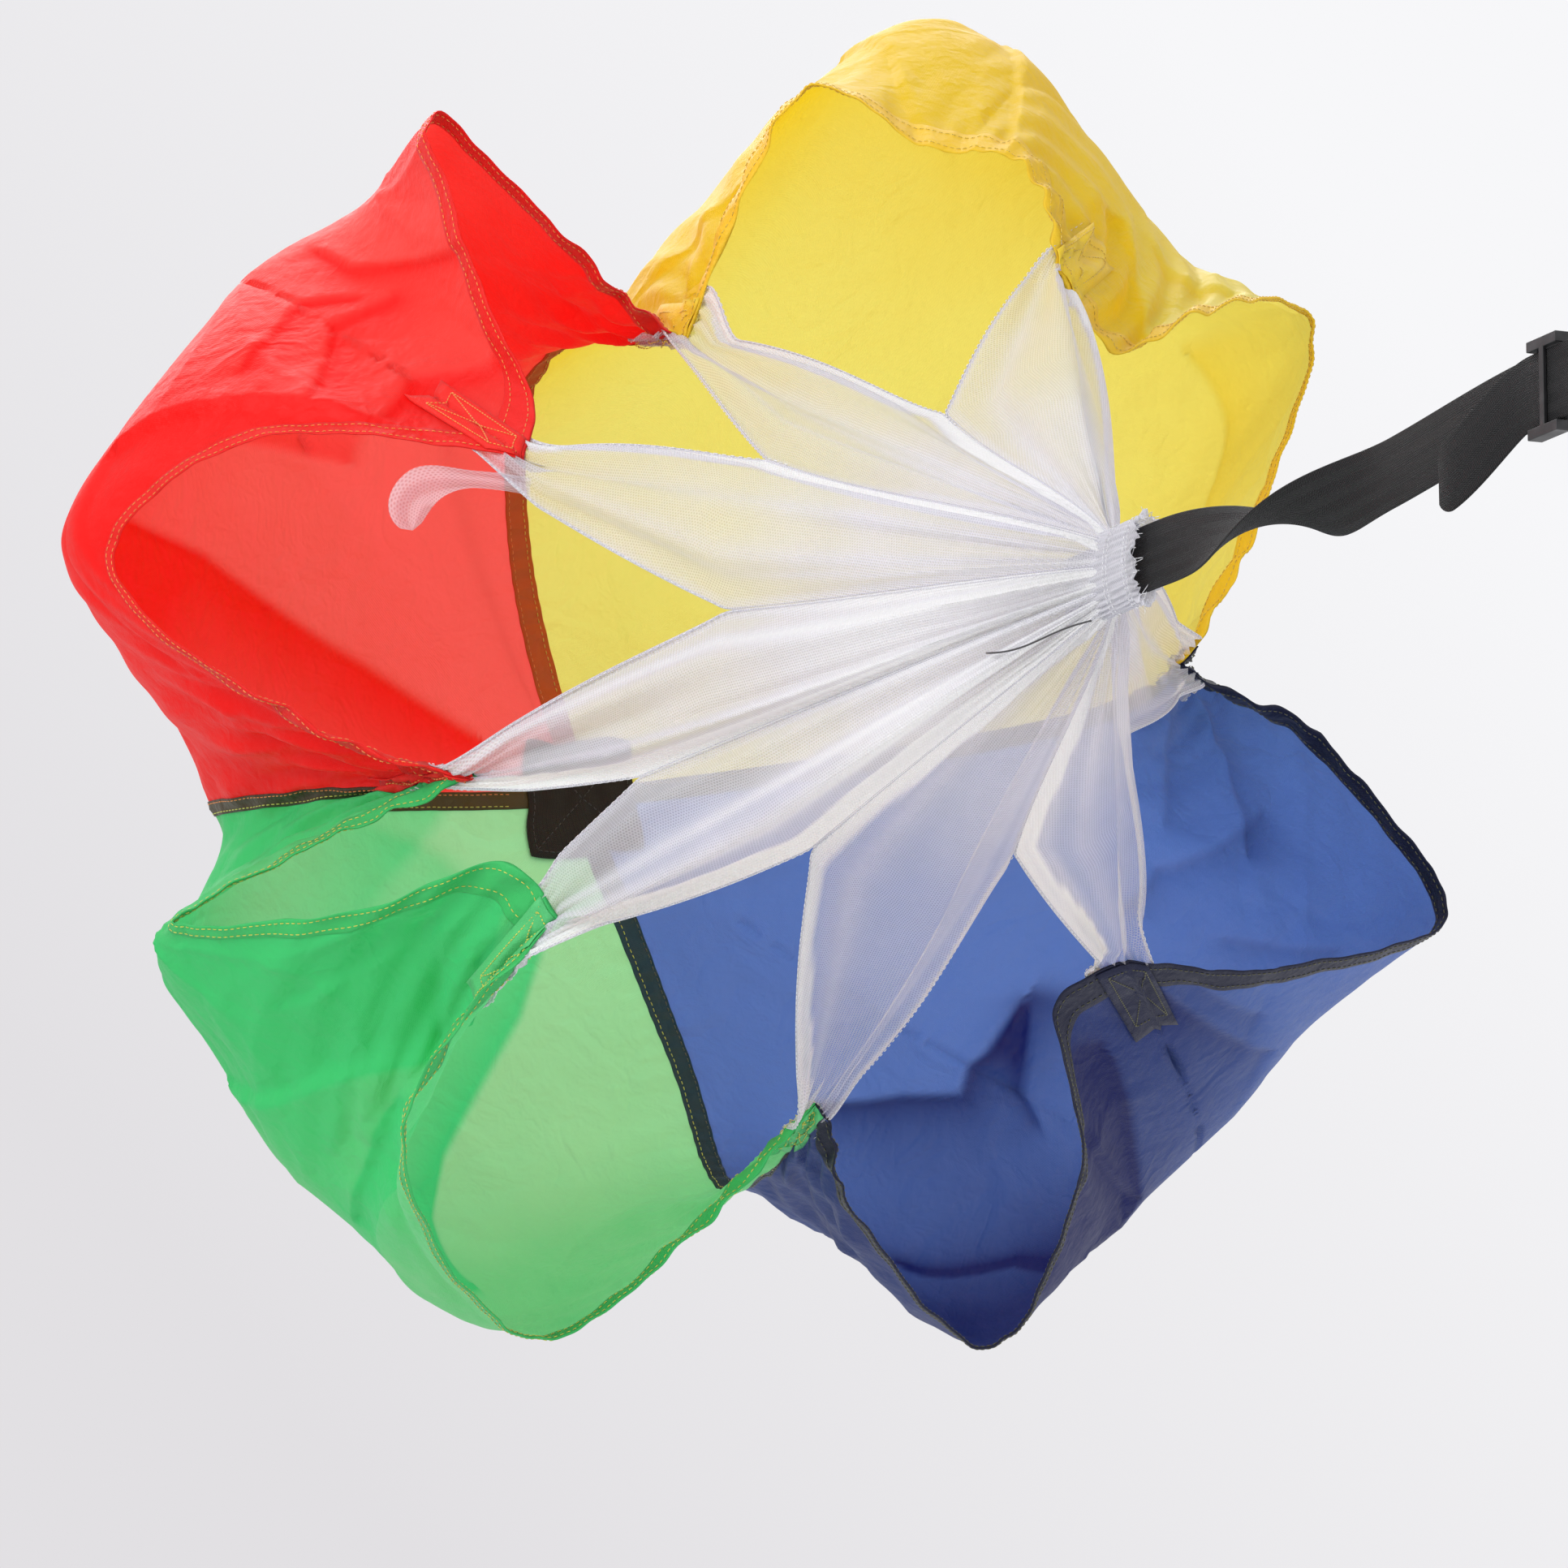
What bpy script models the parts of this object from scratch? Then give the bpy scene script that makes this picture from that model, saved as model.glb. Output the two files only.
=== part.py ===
"""Speed parachute for running drills: a square four-colour canopy flying inflated behind a
waist belt.  Metres, +X the way the runner pulls, +Z up.  The origin is on the flat inner face
of the belt's back pad, where it rests against the runner's back."""

import math

import bpy
import numpy as np

# Clearance that touching neighbours keep, and how far a cutter runs past what it cuts.
GAP = 0.0003
OVERRUN = 0.004

# The canopy is a hemmed square of four quadrants, joined by flat-felled seams.
CANOPY_SIDE = 1.0
CLOTH_T = 0.001
SEAM_WIDTH = 0.012
SEAM_T = 0.0016
HEM_WIDTH = 0.012
HEM_T = 0.0016
CENTRE_PATCH_SIDE = 0.090
CENTRE_PATCH_T = 0.0009
TAB_PATCH_SIDE = 0.035
TAB_PATCH_T = 0.0009

# The mesh cone has eight tongues that end in a sewn collar on the tow strap.
MESH_T = 0.0008
CONE_LENGTH = 0.800
COLLAR_LENGTH = 0.044
COLLAR_WALL = 0.0015
NECK_HALF_HEIGHT = 0.0220
NECK_HALF_THICKNESS = 0.0050

# The tow strap is one webbing that loops round the bow of the ring and comes back.
TOW_LENGTH = 0.720
WEBBING_WIDTH = 0.038
WEBBING_T = 0.0015
STRAP_TONGUE = 0.058
LOOP_WIDTH = 0.020
LOOP_TAPER = 0.030
DOUBLED_LENGTH = 0.236
TAIL_LENGTH = 0.080
TAIL_DROP = 0.030
TAIL_SPREAD = 0.010
STRAP_SAG = 0.012
TWIST_FROM_COLLAR = 0.180
TWIST_LENGTH = 0.270
ADJUSTER_LENGTH = 0.030
ADJUSTER_BAR = 0.0045
ADJUSTER_RAIL = 0.0055
ADJUSTER_T = 0.0022

# The tow ring is a D of round wire, held by its bar in a webbing keeper on the belt.
RING_WIRE_D = 0.0044
RING_RADIUS = 0.024
RING_CORNER = 0.005
KEEPER_HEIGHT = 0.020
KEEPER_HALF_LENGTH = 0.026

# The belt: a padded back, webbing round the waist and a side-release buckle.
PAD_HALF_WIDTH = 0.070
PAD_HALF_HEIGHT = 0.045
PAD_CORNER = 0.014
LINING_T = 0.0015
FOAM_T = 0.006
BINDING_WALL = 0.0040
WAIST_DEPTH = 0.215
WAIST_HALF_WIDTH = 0.155
HINGE_Y = -0.080
BUCKLE_HALF_HEIGHT = 0.0235
BUCKLE_T = 0.0100
SOCKET_LENGTH = 0.054
CHANNEL_DEPTH = 0.034
CHANNEL_HALF_HEIGHT = 0.0165
CHANNEL_T = 0.0046
PLUG_LENGTH = 0.026
SOCKET_HALF_HEIGHT = 0.0190
BUCKLE_WALL = 0.0040
BUCKLE_CLEARANCE = 0.0006
PRONG_LENGTH = 0.029
PRONG_WIDTH = 0.0048
PRONG_ROOT = 0.0030
BARB_LENGTH = 0.0115
BARB_STAND = 0.0030
BARB_START = 0.0150
PRONG_CLEARANCE = 0.0015
SPINE_HALF_HEIGHT = 0.0040
BAR_LENGTH = 0.0032
WEBBING_BAR_T = 0.0032
SLOT_LENGTH = 0.0070
BAR_LEAD = 0.0080
SEWN_RETURN = 0.040
TAIL_KEEPER_LENGTH = 0.018
TAIL_KEEPER_WALL = 0.0014

# Number of flat facets along curved pieces.
ARC_STEPS = 8
STRAP_STEPS = 26
PAD_CORNER_STEPS = 4
BUCKLE_STEPS = 4
BEND_STEPS = 10
WIRE_STEPS = 14

# Places that follow from the sizes above.
BACKING_T = LINING_T
PAD_T = LINING_T + GAP + FOAM_T + GAP + BACKING_T
BELT_X = -(PAD_T + GAP + WEBBING_T / 2)
KEEPER_X = BELT_X - WEBBING_T - GAP
RING_X = BELT_X - WEBBING_T / 2 - GAP - GAP - RING_WIRE_D / 2
BOW_X = RING_X - RING_RADIUS
COLLAR_X = BOW_X - TOW_LENGTH
APEX_X = COLLAR_X - COLLAR_LENGTH / 2 - CONE_LENGTH
HALF_SIDE = CANOPY_SIDE / 2
BUCKLE_R = WAIST_DEPTH - BELT_X
LOBES = 8

# The edge of the inflated canopy, tab by tab: place along the edge in half sides, then the
# distance from the axis, the angle in degrees from +Y towards +Z, and the distance ahead of
# the crown.  Both distances are shares of the side.  A whole number is a tab, where the mesh
# is sewn on: 0 is the yellow-red seam, 1 the red corner, 2 the red-green seam, and so on.
EDGE_SHARES = (
    ((0, .244, 100, .280), (.25, .306, 112, .300), (.5, .415, 122, .320),
     (.72, .335, 129, .350), (.9, .243, 138, .385), (1, .232, 147, .400)),
    ((1, .232, 147, .400), (1.25, .355, 155, .310), (1.5, .402, 167, .220),
     (1.75, .312, 181, .280), (2, .205, 195, .340)),
    ((2, .205, 195, .340), (2.25, .285, 198, .260), (2.5, .375, 201, .220),
     (2.75, .300, 207, .320), (2.92, .222, 211, .385), (3, .220, 221, .390)),
    ((3, .220, 221, .390), (3.25, .366, 228, .340), (3.5, .397, 252, .220),
     (3.75, .319, 264, .260), (4, .237, 279, .300)),
    ((4, .237, 279, .300), (4.25, .302, 285, .260), (4.5, .417, 300, .180),
     (4.75, .337, 310, .300), (4.92, .235, 314, .385), (5, .248, 323, .400)),
    ((5, .248, 323, .400), (5.25, .352, 336, .370), (5.5, .463, 348, .340),
     (5.75, .372, 361, .340), (6, .260, 370, .360)),
    ((6, .260, 370, .360), (6.25, .352, 386, .360), (6.5, .451, 398, .350),
     (6.75, .355, 406, .420), (6.92, .272, 414, .450), (7, .293, 424, .460)),
    ((7, .293, 424, .460), (7.25, .357, 430, .420), (7.5, .362, 438, .380),
     (7.75, .386, 449, .335), (7.9, .312, 454, .310), (8, .244, 460, .280)),
)
# The belly of the canopy, every half lobe, in the same three values.
BELLY_SHARES = (
    (.270, 104, .095), (.370, 119, .120), (.402, 136, .160), (.405, 165, .150),
    (.285, 188, .095), (.350, 206, .120), (.370, 229, .160), (.352, 249, .110),
    (.270, 284, .100), (.385, 303, .110), (.424, 326, .170), (.415, 346, .170),
    (.310, 370, .120), (.445, 393, .195), (.458, 411, .230), (.496, 433, .190),
)
# The crown: how far round the inner ring is turned past the belly at each tab, in degrees.
CROWN_TURNS = (4, 0, -2, 0, 6, 0, 0, 0, 4)
CROWN_SHARE = 0.35
BELLY_SHARE = 0.70
CROWN_REACH_SHARE = 0.97
CROWN_RISE_SHARE = 0.0424
# Rows from the crown to the hem, and columns across one lobe, of the canopy's facets.
ROW_SHARES = (.035, .09, .2, .31, .42, .53, .64, .74, .84)
COLUMN_SHARES = (.12, .24, .36, .5, .62, .73, .82, .91)

# The tongues: how wide each starts at its tab, as a share of the room to its neighbours, and
# the station at which it meets the next one; the edges between run straight.  The last is how
# far the sides fall in towards the axis between two taut lines.
TONGUE_STATION_SHARES = (.06, .14, .24, .35, .46, .57, .70, .83, .93, 1.0)
TONGUE_START_SHARES = (.18, .18, .28, .18, .20, .28, .28, .16)
TONGUE_MEETING_SHARES = (.33, .42, .28, .42, .40, .34, .50, .55)
TONGUE_COLUMN_SHARES = (-1.0, -.5, 0.0, .5, 1.0)
TONGUE_VALLEY_SHARE = 0.16
COLLAR_HELD_SHARE = 0.8

# The strap's taper to its loop and its free tail, and the belt's plan.
TAPER_STEP_SHARES = (0.0, 0.5, 1.0)
TAIL_STEP_SHARES = (0.0, .2, .4, .6, .8, 1.0)
SIDE_START_SHARE = 0.30
SIDE_END_SHARE = 0.66
BEND_SHARE = 1.1

# Canopy colours by quadrant, from the first tab round.
QUADRANTS = ("red", "green", "blue", "yellow")
COLOURS = {
    "red": (0.86, 0.03, 0.02),
    "green": (0.10, 0.58, 0.22),
    "blue": (0.05, 0.10, 0.42),
    "yellow": (0.86, 0.68, 0.08),
    "white_mesh": (0.82, 0.82, 0.83),
    "black_webbing": (0.035, 0.035, 0.038),
    "black_plastic": (0.02, 0.02, 0.022),
    "steel": (0.62, 0.62, 0.64),
    "foam": (0.16, 0.16, 0.17),
    "red_green": (0.10, 0.06, 0.02),
    "green_blue": (0.02, 0.06, 0.07),
    "blue_yellow": (0.04, 0.06, 0.05),
    "yellow_red": (0.60, 0.12, 0.02),
}


def clear_scene():
    for thing in list(bpy.data.objects):
        bpy.data.objects.remove(thing, do_unlink=True)


def material(name, roughness=0.8, metallic=0.0):
    found = bpy.data.materials.get(name)
    if found:
        return found
    made = bpy.data.materials.new(name)
    made.use_nodes = True
    shader = made.node_tree.nodes["Principled BSDF"]
    shader.inputs["Base Color"].default_value = (*COLOURS[name], 1.0)
    shader.inputs["Roughness"].default_value = roughness
    shader.inputs["Metallic"].default_value = metallic
    made.diffuse_color = (*COLOURS[name], 1.0)
    return made


def add_object(name, points, faces, look, pivot=(0.0, 0.0, 0.0)):
    """Make one object from points in world places, with its origin on a chosen pivot."""
    local = np.asarray(points, float) - np.asarray(pivot, float)
    mesh = bpy.data.meshes.new(name)
    mesh.from_pydata([tuple(p) for p in local], [], faces)
    mesh.update()
    mesh.shade_smooth()
    mesh.set_sharp_from_angle(angle=math.radians(40))
    mesh.materials.append(look)
    thing = bpy.data.objects.new(name, mesh)
    thing.location = pivot
    bpy.context.collection.objects.link(thing)
    return thing


def unit(vector):
    return vector / max(np.linalg.norm(vector), 1e-12)


def polar(distance, degrees, ahead):
    """A point at a distance from the tow axis and some way ahead of the crown."""
    turn = math.radians(degrees)
    return np.array([ahead, distance * math.cos(turn), distance * math.sin(turn)])


def hermite(start, start_slope, end, end_slope, share, span):
    """The cubic curve between two points with given slopes."""
    square = share * share
    cube = square * share
    return (
        (2 * cube - 3 * square + 1) * start
        + (cube - 2 * square + share) * span * start_slope
        + (3 * square - 2 * cube) * end
        + (cube - square) * span * end_slope
    )


def smooth_step(value):
    value = min(max(value, 0.0), 1.0)
    return value * value * (3 - 2 * value)


def through(places, points, place):
    """A smooth open curve through points at uneven places, read at one place."""
    last = len(places) - 1
    index = max(i for i in range(last) if places[i] <= place or i == 0)

    def slope(i):
        if i == 0:
            return (points[1] - points[0]) / (places[1] - places[0])
        if i == last:
            return (points[-1] - points[-2]) / (places[-1] - places[-2])
        before = places[i] - places[i - 1]
        after = places[i + 1] - places[i]
        rise = (points[i] - points[i - 1]) / before * after
        return (rise + (points[i + 1] - points[i]) / after * before) / (before + after)

    span = places[index + 1] - places[index]
    share = (place - places[index]) / span
    return hermite(points[index], slope(index), points[index + 1], slope(index + 1), share, span)


def edge_point(place):
    """A point on the canopy's edge; place counts tabs from the yellow-red seam."""
    place = place % LOBES
    rows = EDGE_SHARES[int(place)]
    places = [row[0] for row in rows]
    points = [polar(row[1], row[2], row[3]) * CANOPY_SIDE for row in rows]
    return through(places, points, place)


def belly_point(place):
    """A point on the belly of the canopy, which is smooth all the way round."""
    step = (place % LOBES) * 2
    index = int(step)
    share = step - index
    count = len(BELLY_SHARES)
    around = [polar(*BELLY_SHARES[(index + i) % count]) for i in (-1, 0, 1, 2)]
    slopes = ((around[2] - around[0]) / 2, (around[3] - around[1]) / 2)
    return hermite(around[1], slopes[0], around[2], slopes[1], share, 1) * CANOPY_SIDE


def flat_reach(place):
    """How far the flat square's edge is from its centre, as a share of half the side."""
    return math.hypot(1, (place + 1) % 2 - 1)


def crown_point(place):
    """A point on the nearly flat ring round the crown."""
    belly = belly_point(place)
    place = place % LOBES
    turn = np.interp(place, range(LOBES + 1), CROWN_TURNS)
    degrees = math.degrees(math.atan2(belly[2], belly[1])) + turn
    reach = CROWN_SHARE * CROWN_REACH_SHARE * HALF_SIDE * flat_reach(place)
    return polar(reach, degrees, CROWN_RISE_SHARE * HALF_SIDE * flat_reach(place))


def canopy_point(ring, place):
    """The middle of the cloth: ring is 0 at the crown and 1 at the edge."""
    knots = (0.0, CROWN_SHARE, BELLY_SHARE, 1.0)
    points = (np.zeros(3), crown_point(place), belly_point(place), edge_point(place))
    slopes = [None] * 4
    for i in (1, 2):
        slopes[i] = (points[i + 1] - points[i - 1]) / (knots[i + 1] - knots[i - 1])
    slopes[0] = 2 * points[1] / CROWN_SHARE - slopes[1]
    slopes[0][0] = 0.0
    slopes[3] = 1.5 * (points[3] - points[2]) / (knots[3] - knots[2]) - 0.5 * slopes[2]
    i = 0 if ring <= CROWN_SHARE else 1 if ring <= BELLY_SHARE else 2
    span = knots[i + 1] - knots[i]
    share = (ring - knots[i]) / span
    point = hermite(points[i], slopes[i], points[i + 1], slopes[i + 1], share, span)
    return point + np.array([APEX_X, 0.0, 0.0])


def canopy_normal(ring, place):
    """The way from the cloth into the canopy's hollow."""
    step = 0.002
    low = max(ring - step, 0.002)
    outward = canopy_point(min(ring + step, 1.0), place) - canopy_point(low, place)
    around = canopy_point(ring, place + step) - canopy_point(ring, place - step)
    return unit(np.cross(outward, around))


def seam_share(ring):
    """Half a seam's width as a share of half the side, at one ring."""
    return SEAM_WIDTH / 2 / (HALF_SIDE * ring)


def on_ring(ring, place):
    """Where a place at the edge goes on an inner ring, so that seams keep their width."""
    tab = 2 * round(place / 2)
    off = place - tab
    outer, here = seam_share(1.0), seam_share(ring)
    if abs(off) <= outer:
        return tab + off * here / outer
    share = (abs(off) - outer) / (1 - outer)
    return tab + math.copysign(here + share * (1 - here), off)


def canopy_grid(rings, places):
    """Points and normals of the cloth, a row for each ring."""
    points = [[canopy_point(r, on_ring(r, p)) for p in places] for r in rings]
    normals = [[canopy_normal(r, on_ring(r, p)) for p in places] for r in rings]
    return np.array(points), np.array(normals)


def grid_normals(points):
    """Normals of a grid of points, from the faces round each point."""
    rows, columns = points.shape[:2]
    normals = np.zeros_like(points)
    for i in range(rows - 1):
        for j in range(columns - 1):
            corner = points[i, j]
            face = np.cross(points[i + 1, j] - corner, points[i + 1, j + 1] - corner)
            face = unit(face + np.cross(points[i + 1, j + 1] - corner, points[i, j + 1] - corner))
            for a, b in ((i, j), (i + 1, j), (i, j + 1), (i + 1, j + 1)):
                normals[a, b] += face
    return np.array([[unit(n) for n in row] for row in normals])


def drawn_back(points, sides, clearance):
    """Move chosen sides of a grid inwards along the cloth, to clear the next piece."""
    moved = points.copy()
    ends = {"first_row": (0, 1), "last_row": (-1, -2)}
    for side, (edge, inner) in ends.items():
        if side in sides:
            for j in range(points.shape[1]):
                moved[edge, j] += unit(points[inner, j] - points[edge, j]) * clearance
    ends = {"first_column": (0, 1), "last_column": (-1, -2)}
    for side, (edge, inner) in ends.items():
        if side in sides:
            for i in range(points.shape[0]):
                moved[i, edge] += unit(points[i, inner] - points[i, edge]) * clearance
    return moved


ALL_SIDES = ("first_row", "last_row", "first_column", "last_column")


def shell(name, points, normals, low, high, look, round_closed=False):
    """A closed thin shell round a grid of points, between two distances along its normals."""
    rows, columns = points.shape[:2]
    low_points = (points + normals * low).reshape(-1, 3)
    high_points = (points + normals * high).reshape(-1, 3)
    below = rows * columns
    wide = columns if round_closed else columns - 1

    def index(i, j):
        return i * columns + j % columns

    faces = []
    for i in range(rows - 1):
        for j in range(wide):
            a, b = index(i, j), index(i + 1, j)
            c, d = index(i + 1, j + 1), index(i, j + 1)
            faces += [(a, b, c), (a, c, d)]
            faces += [(below + a, below + c, below + b), (below + a, below + d, below + c)]
    last = rows - 1
    rising = [(index(last, j), index(last, j + 1)) for j in range(wide)]
    falling = [(index(0, j), index(0, j + 1)) for j in range(wide)]
    if not round_closed:
        rising += [(index(i, 0), index(i + 1, 0)) for i in range(last)]
        falling += [(index(i, columns - 1), index(i + 1, columns - 1)) for i in range(last)]
    for a, b in rising:
        faces += [(b, a, below + b), (a, below + a, below + b)]
    for a, b in falling:
        faces += [(a, b, below + b), (a, below + b, below + a)]
    return add_object(name, np.concatenate([high_points, low_points]), faces, look)


def lobe_columns(first, last):
    """Places of the facet columns from one seam tab to the next, with the corner between."""
    tab_share = TAB_PATCH_SIDE / CANOPY_SIDE
    lobe = (tab_share, *COLUMN_SHARES, 1 - tab_share)
    middle = (first + last) / 2
    edge = seam_share(1.0)
    corner = [middle - edge, middle, middle + edge]
    return [first + u for u in lobe] + corner + [middle + u for u in lobe]


def tab_ring():
    return 1 - TAB_PATCH_SIDE / HALF_SIDE


def hem_ring():
    return 1 - HEM_WIDTH / HALF_SIDE


def make_quadrants():
    half = GAP / 2
    for number, colour in enumerate(QUADRANTS):
        first, last = 2 * number, 2 * number + 2
        edge = seam_share(1.0)
        places = [first + edge, *lobe_columns(first, last), last - edge]
        rings = (*ROW_SHARES, tab_ring(), hem_ring())
        points, normals = canopy_grid(rings, places)
        points = drawn_back(points, ALL_SIDES, half)
        points = drawn_back(points, ("last_row",), GAP)
        look = material(colour, 0.5)
        shell(f"canopy_{colour}", points, normals, -CLOTH_T / 2, CLOTH_T / 2, look)
        places = [first, first + edge, *lobe_columns(first, last), last - edge, last]
        points, normals = canopy_grid((hem_ring(), 1.0), places)
        points = drawn_back(points, ("first_row", "first_column", "last_column"), half)
        shell(f"hem_{colour}", points, normals, -HEM_T / 2, HEM_T / 2, look)


def make_seams():
    names = {0: "yellow_red", 2: "red_green", 4: "green_blue", 6: "blue_yellow"}
    edge = seam_share(1.0)
    for tab, name in names.items():
        rings = (*ROW_SHARES, tab_ring(), hem_ring())
        points, normals = canopy_grid(rings, [tab - edge, tab, tab + edge])
        points = drawn_back(points, ALL_SIDES, GAP / 2)
        shell(f"seam_{name}", points, normals, -SEAM_T / 2, SEAM_T / 2, material(name, 0.6))


def flat_place(across, up):
    """Ring and place of a point of the flat square, given as shares of half its side."""
    ring = max(abs(across), abs(up))
    if up == ring:
        place = -across / ring
    elif -across == ring:
        place = 2 - up / ring
    elif -up == ring:
        place = 4 + across / ring
    else:
        place = 6 + up / ring
    return ring, place % LOBES


def make_centre_patches():
    half = CENTRE_PATCH_SIDE / CANOPY_SIDE
    shares = np.linspace(-half, half, 5)
    points = np.zeros((5, 5, 3))
    normals = np.zeros((5, 5, 3))
    for i, up in enumerate(shares):
        for j, across in enumerate(shares):
            ring, place = flat_place(across, up) if i != 2 or j != 2 else (0.0, 0.0)
            points[i, j] = canopy_point(ring, place)
            normals[i, j] = canopy_normal(max(ring, ROW_SHARES[0] / 2), place)
    normals[2, 2] = np.array([1.0, 0.0, 0.0])
    near = SEAM_T / 2 + 2 * GAP
    far = near + CENTRE_PATCH_T
    look = material("black_webbing", 0.8)
    flip = points[:, ::-1]
    flip_normals = normals[:, ::-1]
    shell("centre_patch_inside", flip, flip_normals, near, far, look)
    shell("centre_patch_outside", flip, flip_normals, -far, -near, look)


def tab_letters():
    return "abcdefgh"


def make_tab_patches():
    tab_share = TAB_PATCH_SIDE / CANOPY_SIDE
    edge = seam_share(1.0)
    near = HEM_T / 2 + GAP
    for tab, letter in enumerate(tab_letters()):
        places = [tab - tab_share, tab - edge, tab, tab + edge, tab + tab_share]
        points, normals = canopy_grid((tab_ring(), hem_ring(), 1.0), places)
        points = drawn_back(points, ("last_row",), GAP)
        colour = QUADRANTS[tab // 2] if tab % 2 else QUADRANTS[tab // 2 - 1]
        look = material(colour, 0.5)
        shell(f"tab_patch_{letter}", points, normals, -near - TAB_PATCH_T, -near, look)


def tab_row(tab):
    """Distance, angle and reach ahead of one tab, the angle counting on past a full turn."""
    row = EDGE_SHARES[tab % LOBES][0]
    return np.array(row[1:]) + np.array([0.0, 360.0 * (tab // LOBES), 0.0])


def cone_point(station, place):
    """A point on the mesh cone: station 0 is the ring of tabs and 1 the neck."""
    tab = math.floor(place)
    share = place - tab
    distance, degrees, ahead = tab_row(tab) * (1 - share) + tab_row(tab + 1) * share
    start = polar(distance, degrees, ahead) * CANOPY_SIDE
    turn = math.radians(degrees)
    neck = np.array([
        CONE_LENGTH,
        NECK_HALF_THICKNESS * math.cos(turn),
        NECK_HALF_HEIGHT * math.sin(turn),
    ])
    point = start * (1 - station) + neck * station
    valley = math.sin(math.pi * share) ** 2 * math.sin(math.pi * station)
    point[1:] *= 1 - TONGUE_VALLEY_SHARE * valley
    return point + np.array([APEX_X, 0.0, 0.0])


def tongue_base(tab, lift):
    """The two rows of a tongue that lie on the hem at its tab."""
    width = TAB_PATCH_SIDE / CANOPY_SIDE
    edge = seam_share(1.0)
    places = [tab - width, tab - edge, tab, tab + edge, tab + width]
    points, normals = canopy_grid((hem_ring(), 1.0), places)
    return list(points + normals * lift)


def neck_turns():
    """Places of all columns round the neck, in order, for the collar."""
    return [tab + share / 2 for tab in range(LOBES) for share in TONGUE_COLUMN_SHARES[:-1]]


def side_share(tab, station, side):
    """How much of the room to the neighbour on one side a tongue fills at a station."""
    start = TONGUE_START_SHARES[tab]
    meeting = TONGUE_MEETING_SHARES[tab if side > 0 else tab - 1]
    reach = start + (1 - meeting - start) * station / meeting
    return min(1.0, reach / (1 - station)) if station < meeting else 1.0


def make_tongues():
    look = material("white_mesh", 0.7)
    lift = HEM_T / 2 + GAP + MESH_T / 2
    for tab, letter in enumerate(tab_letters()):
        rows = tongue_base(tab, lift)
        for station in TONGUE_STATION_SHARES:
            places = [
                tab + share * side_share(tab, station, share) / 2 for share in TONGUE_COLUMN_SHARES
            ]
            rows.append([cone_point(station, place) for place in places])
        end = np.array([COLLAR_LENGTH * COLLAR_HELD_SHARE, 0.0, 0.0])
        rows.append([point + end for point in rows[-1]])
        points = np.array(rows)
        points[2:] = drawn_back(points, ("first_column", "last_column"), GAP)[2:]
        normals = grid_normals(points)
        shell(f"mesh_tongue_{letter}", points, normals, -MESH_T / 2, MESH_T / 2, look)


def make_collar():
    """The sewn sleeve that holds the tongues' ends round the strap."""
    places = neck_turns()
    middle = MESH_T / 2 + GAP + COLLAR_WALL / 2
    rows = []
    for ahead in (CONE_LENGTH, CONE_LENGTH + COLLAR_LENGTH / 2, CONE_LENGTH + COLLAR_LENGTH):
        row = []
        for place in places:
            tab = math.floor(place)
            share = place - tab
            turn = math.radians(tab_row(tab)[1] * (1 - share) + tab_row(tab + 1)[1] * share)
            across = (NECK_HALF_THICKNESS + middle + GAP) * math.cos(turn)
            up = (NECK_HALF_HEIGHT + middle + GAP) * math.sin(turn)
            row.append((APEX_X + ahead, across, up))
        rows.append(row)
    points = np.array(rows)
    normals = np.zeros_like(points)
    count = len(places)
    for i in range(3):
        for j in range(count):
            along = points[i, (j + 1) % count] - points[i, j - 1]
            normals[i, j] = unit(np.cross(np.array([1.0, 0.0, 0.0]), along))
    half = COLLAR_WALL / 2
    shell("mesh_collar", points, normals, -half, half, material("white_mesh"), True)


def bar_faces(count):
    """Faces of a closed four-sided bar with a number of stations."""
    faces = [(3, 2, 1, 0)]
    for i in range(count - 1):
        for k in range(4):
            a, b = 4 * i + k, 4 * i + (k + 1) % 4
            faces.append((a, b, b + 4, a + 4))
    end = 4 * (count - 1)
    faces.append((end, end + 1, end + 2, end + 3))
    return faces


def ribbon(name, centres, widths, thickness, look, rolls=None, pivot=(0.0, 0.0, 0.0)):
    """A flat webbing along a path, its width upright unless it is rolled about its line."""
    centres = np.asarray(centres, float)
    widths = np.broadcast_to(widths, (len(centres),))
    rolls = rolls or [0.0] * len(centres)
    points = []
    for i, centre in enumerate(centres):
        tangent = unit(centres[min(i + 1, len(centres) - 1)] - centres[max(i - 1, 0)])
        upright = np.array([0.0, 0.0, 1.0])
        upright = unit(upright - tangent * np.dot(upright, tangent))
        side = np.cross(tangent, upright)
        turn = math.radians(rolls[i])
        wide = upright * math.cos(turn) + side * math.sin(turn)
        thick = np.cross(tangent, wide)
        for a, b in ((-1, -1), (1, -1), (1, 1), (-1, 1)):
            points.append(centre + wide * a * widths[i] / 2 + thick * b * thickness / 2)
    return add_object(name, points, bar_faces(len(centres)), look, pivot)


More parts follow.
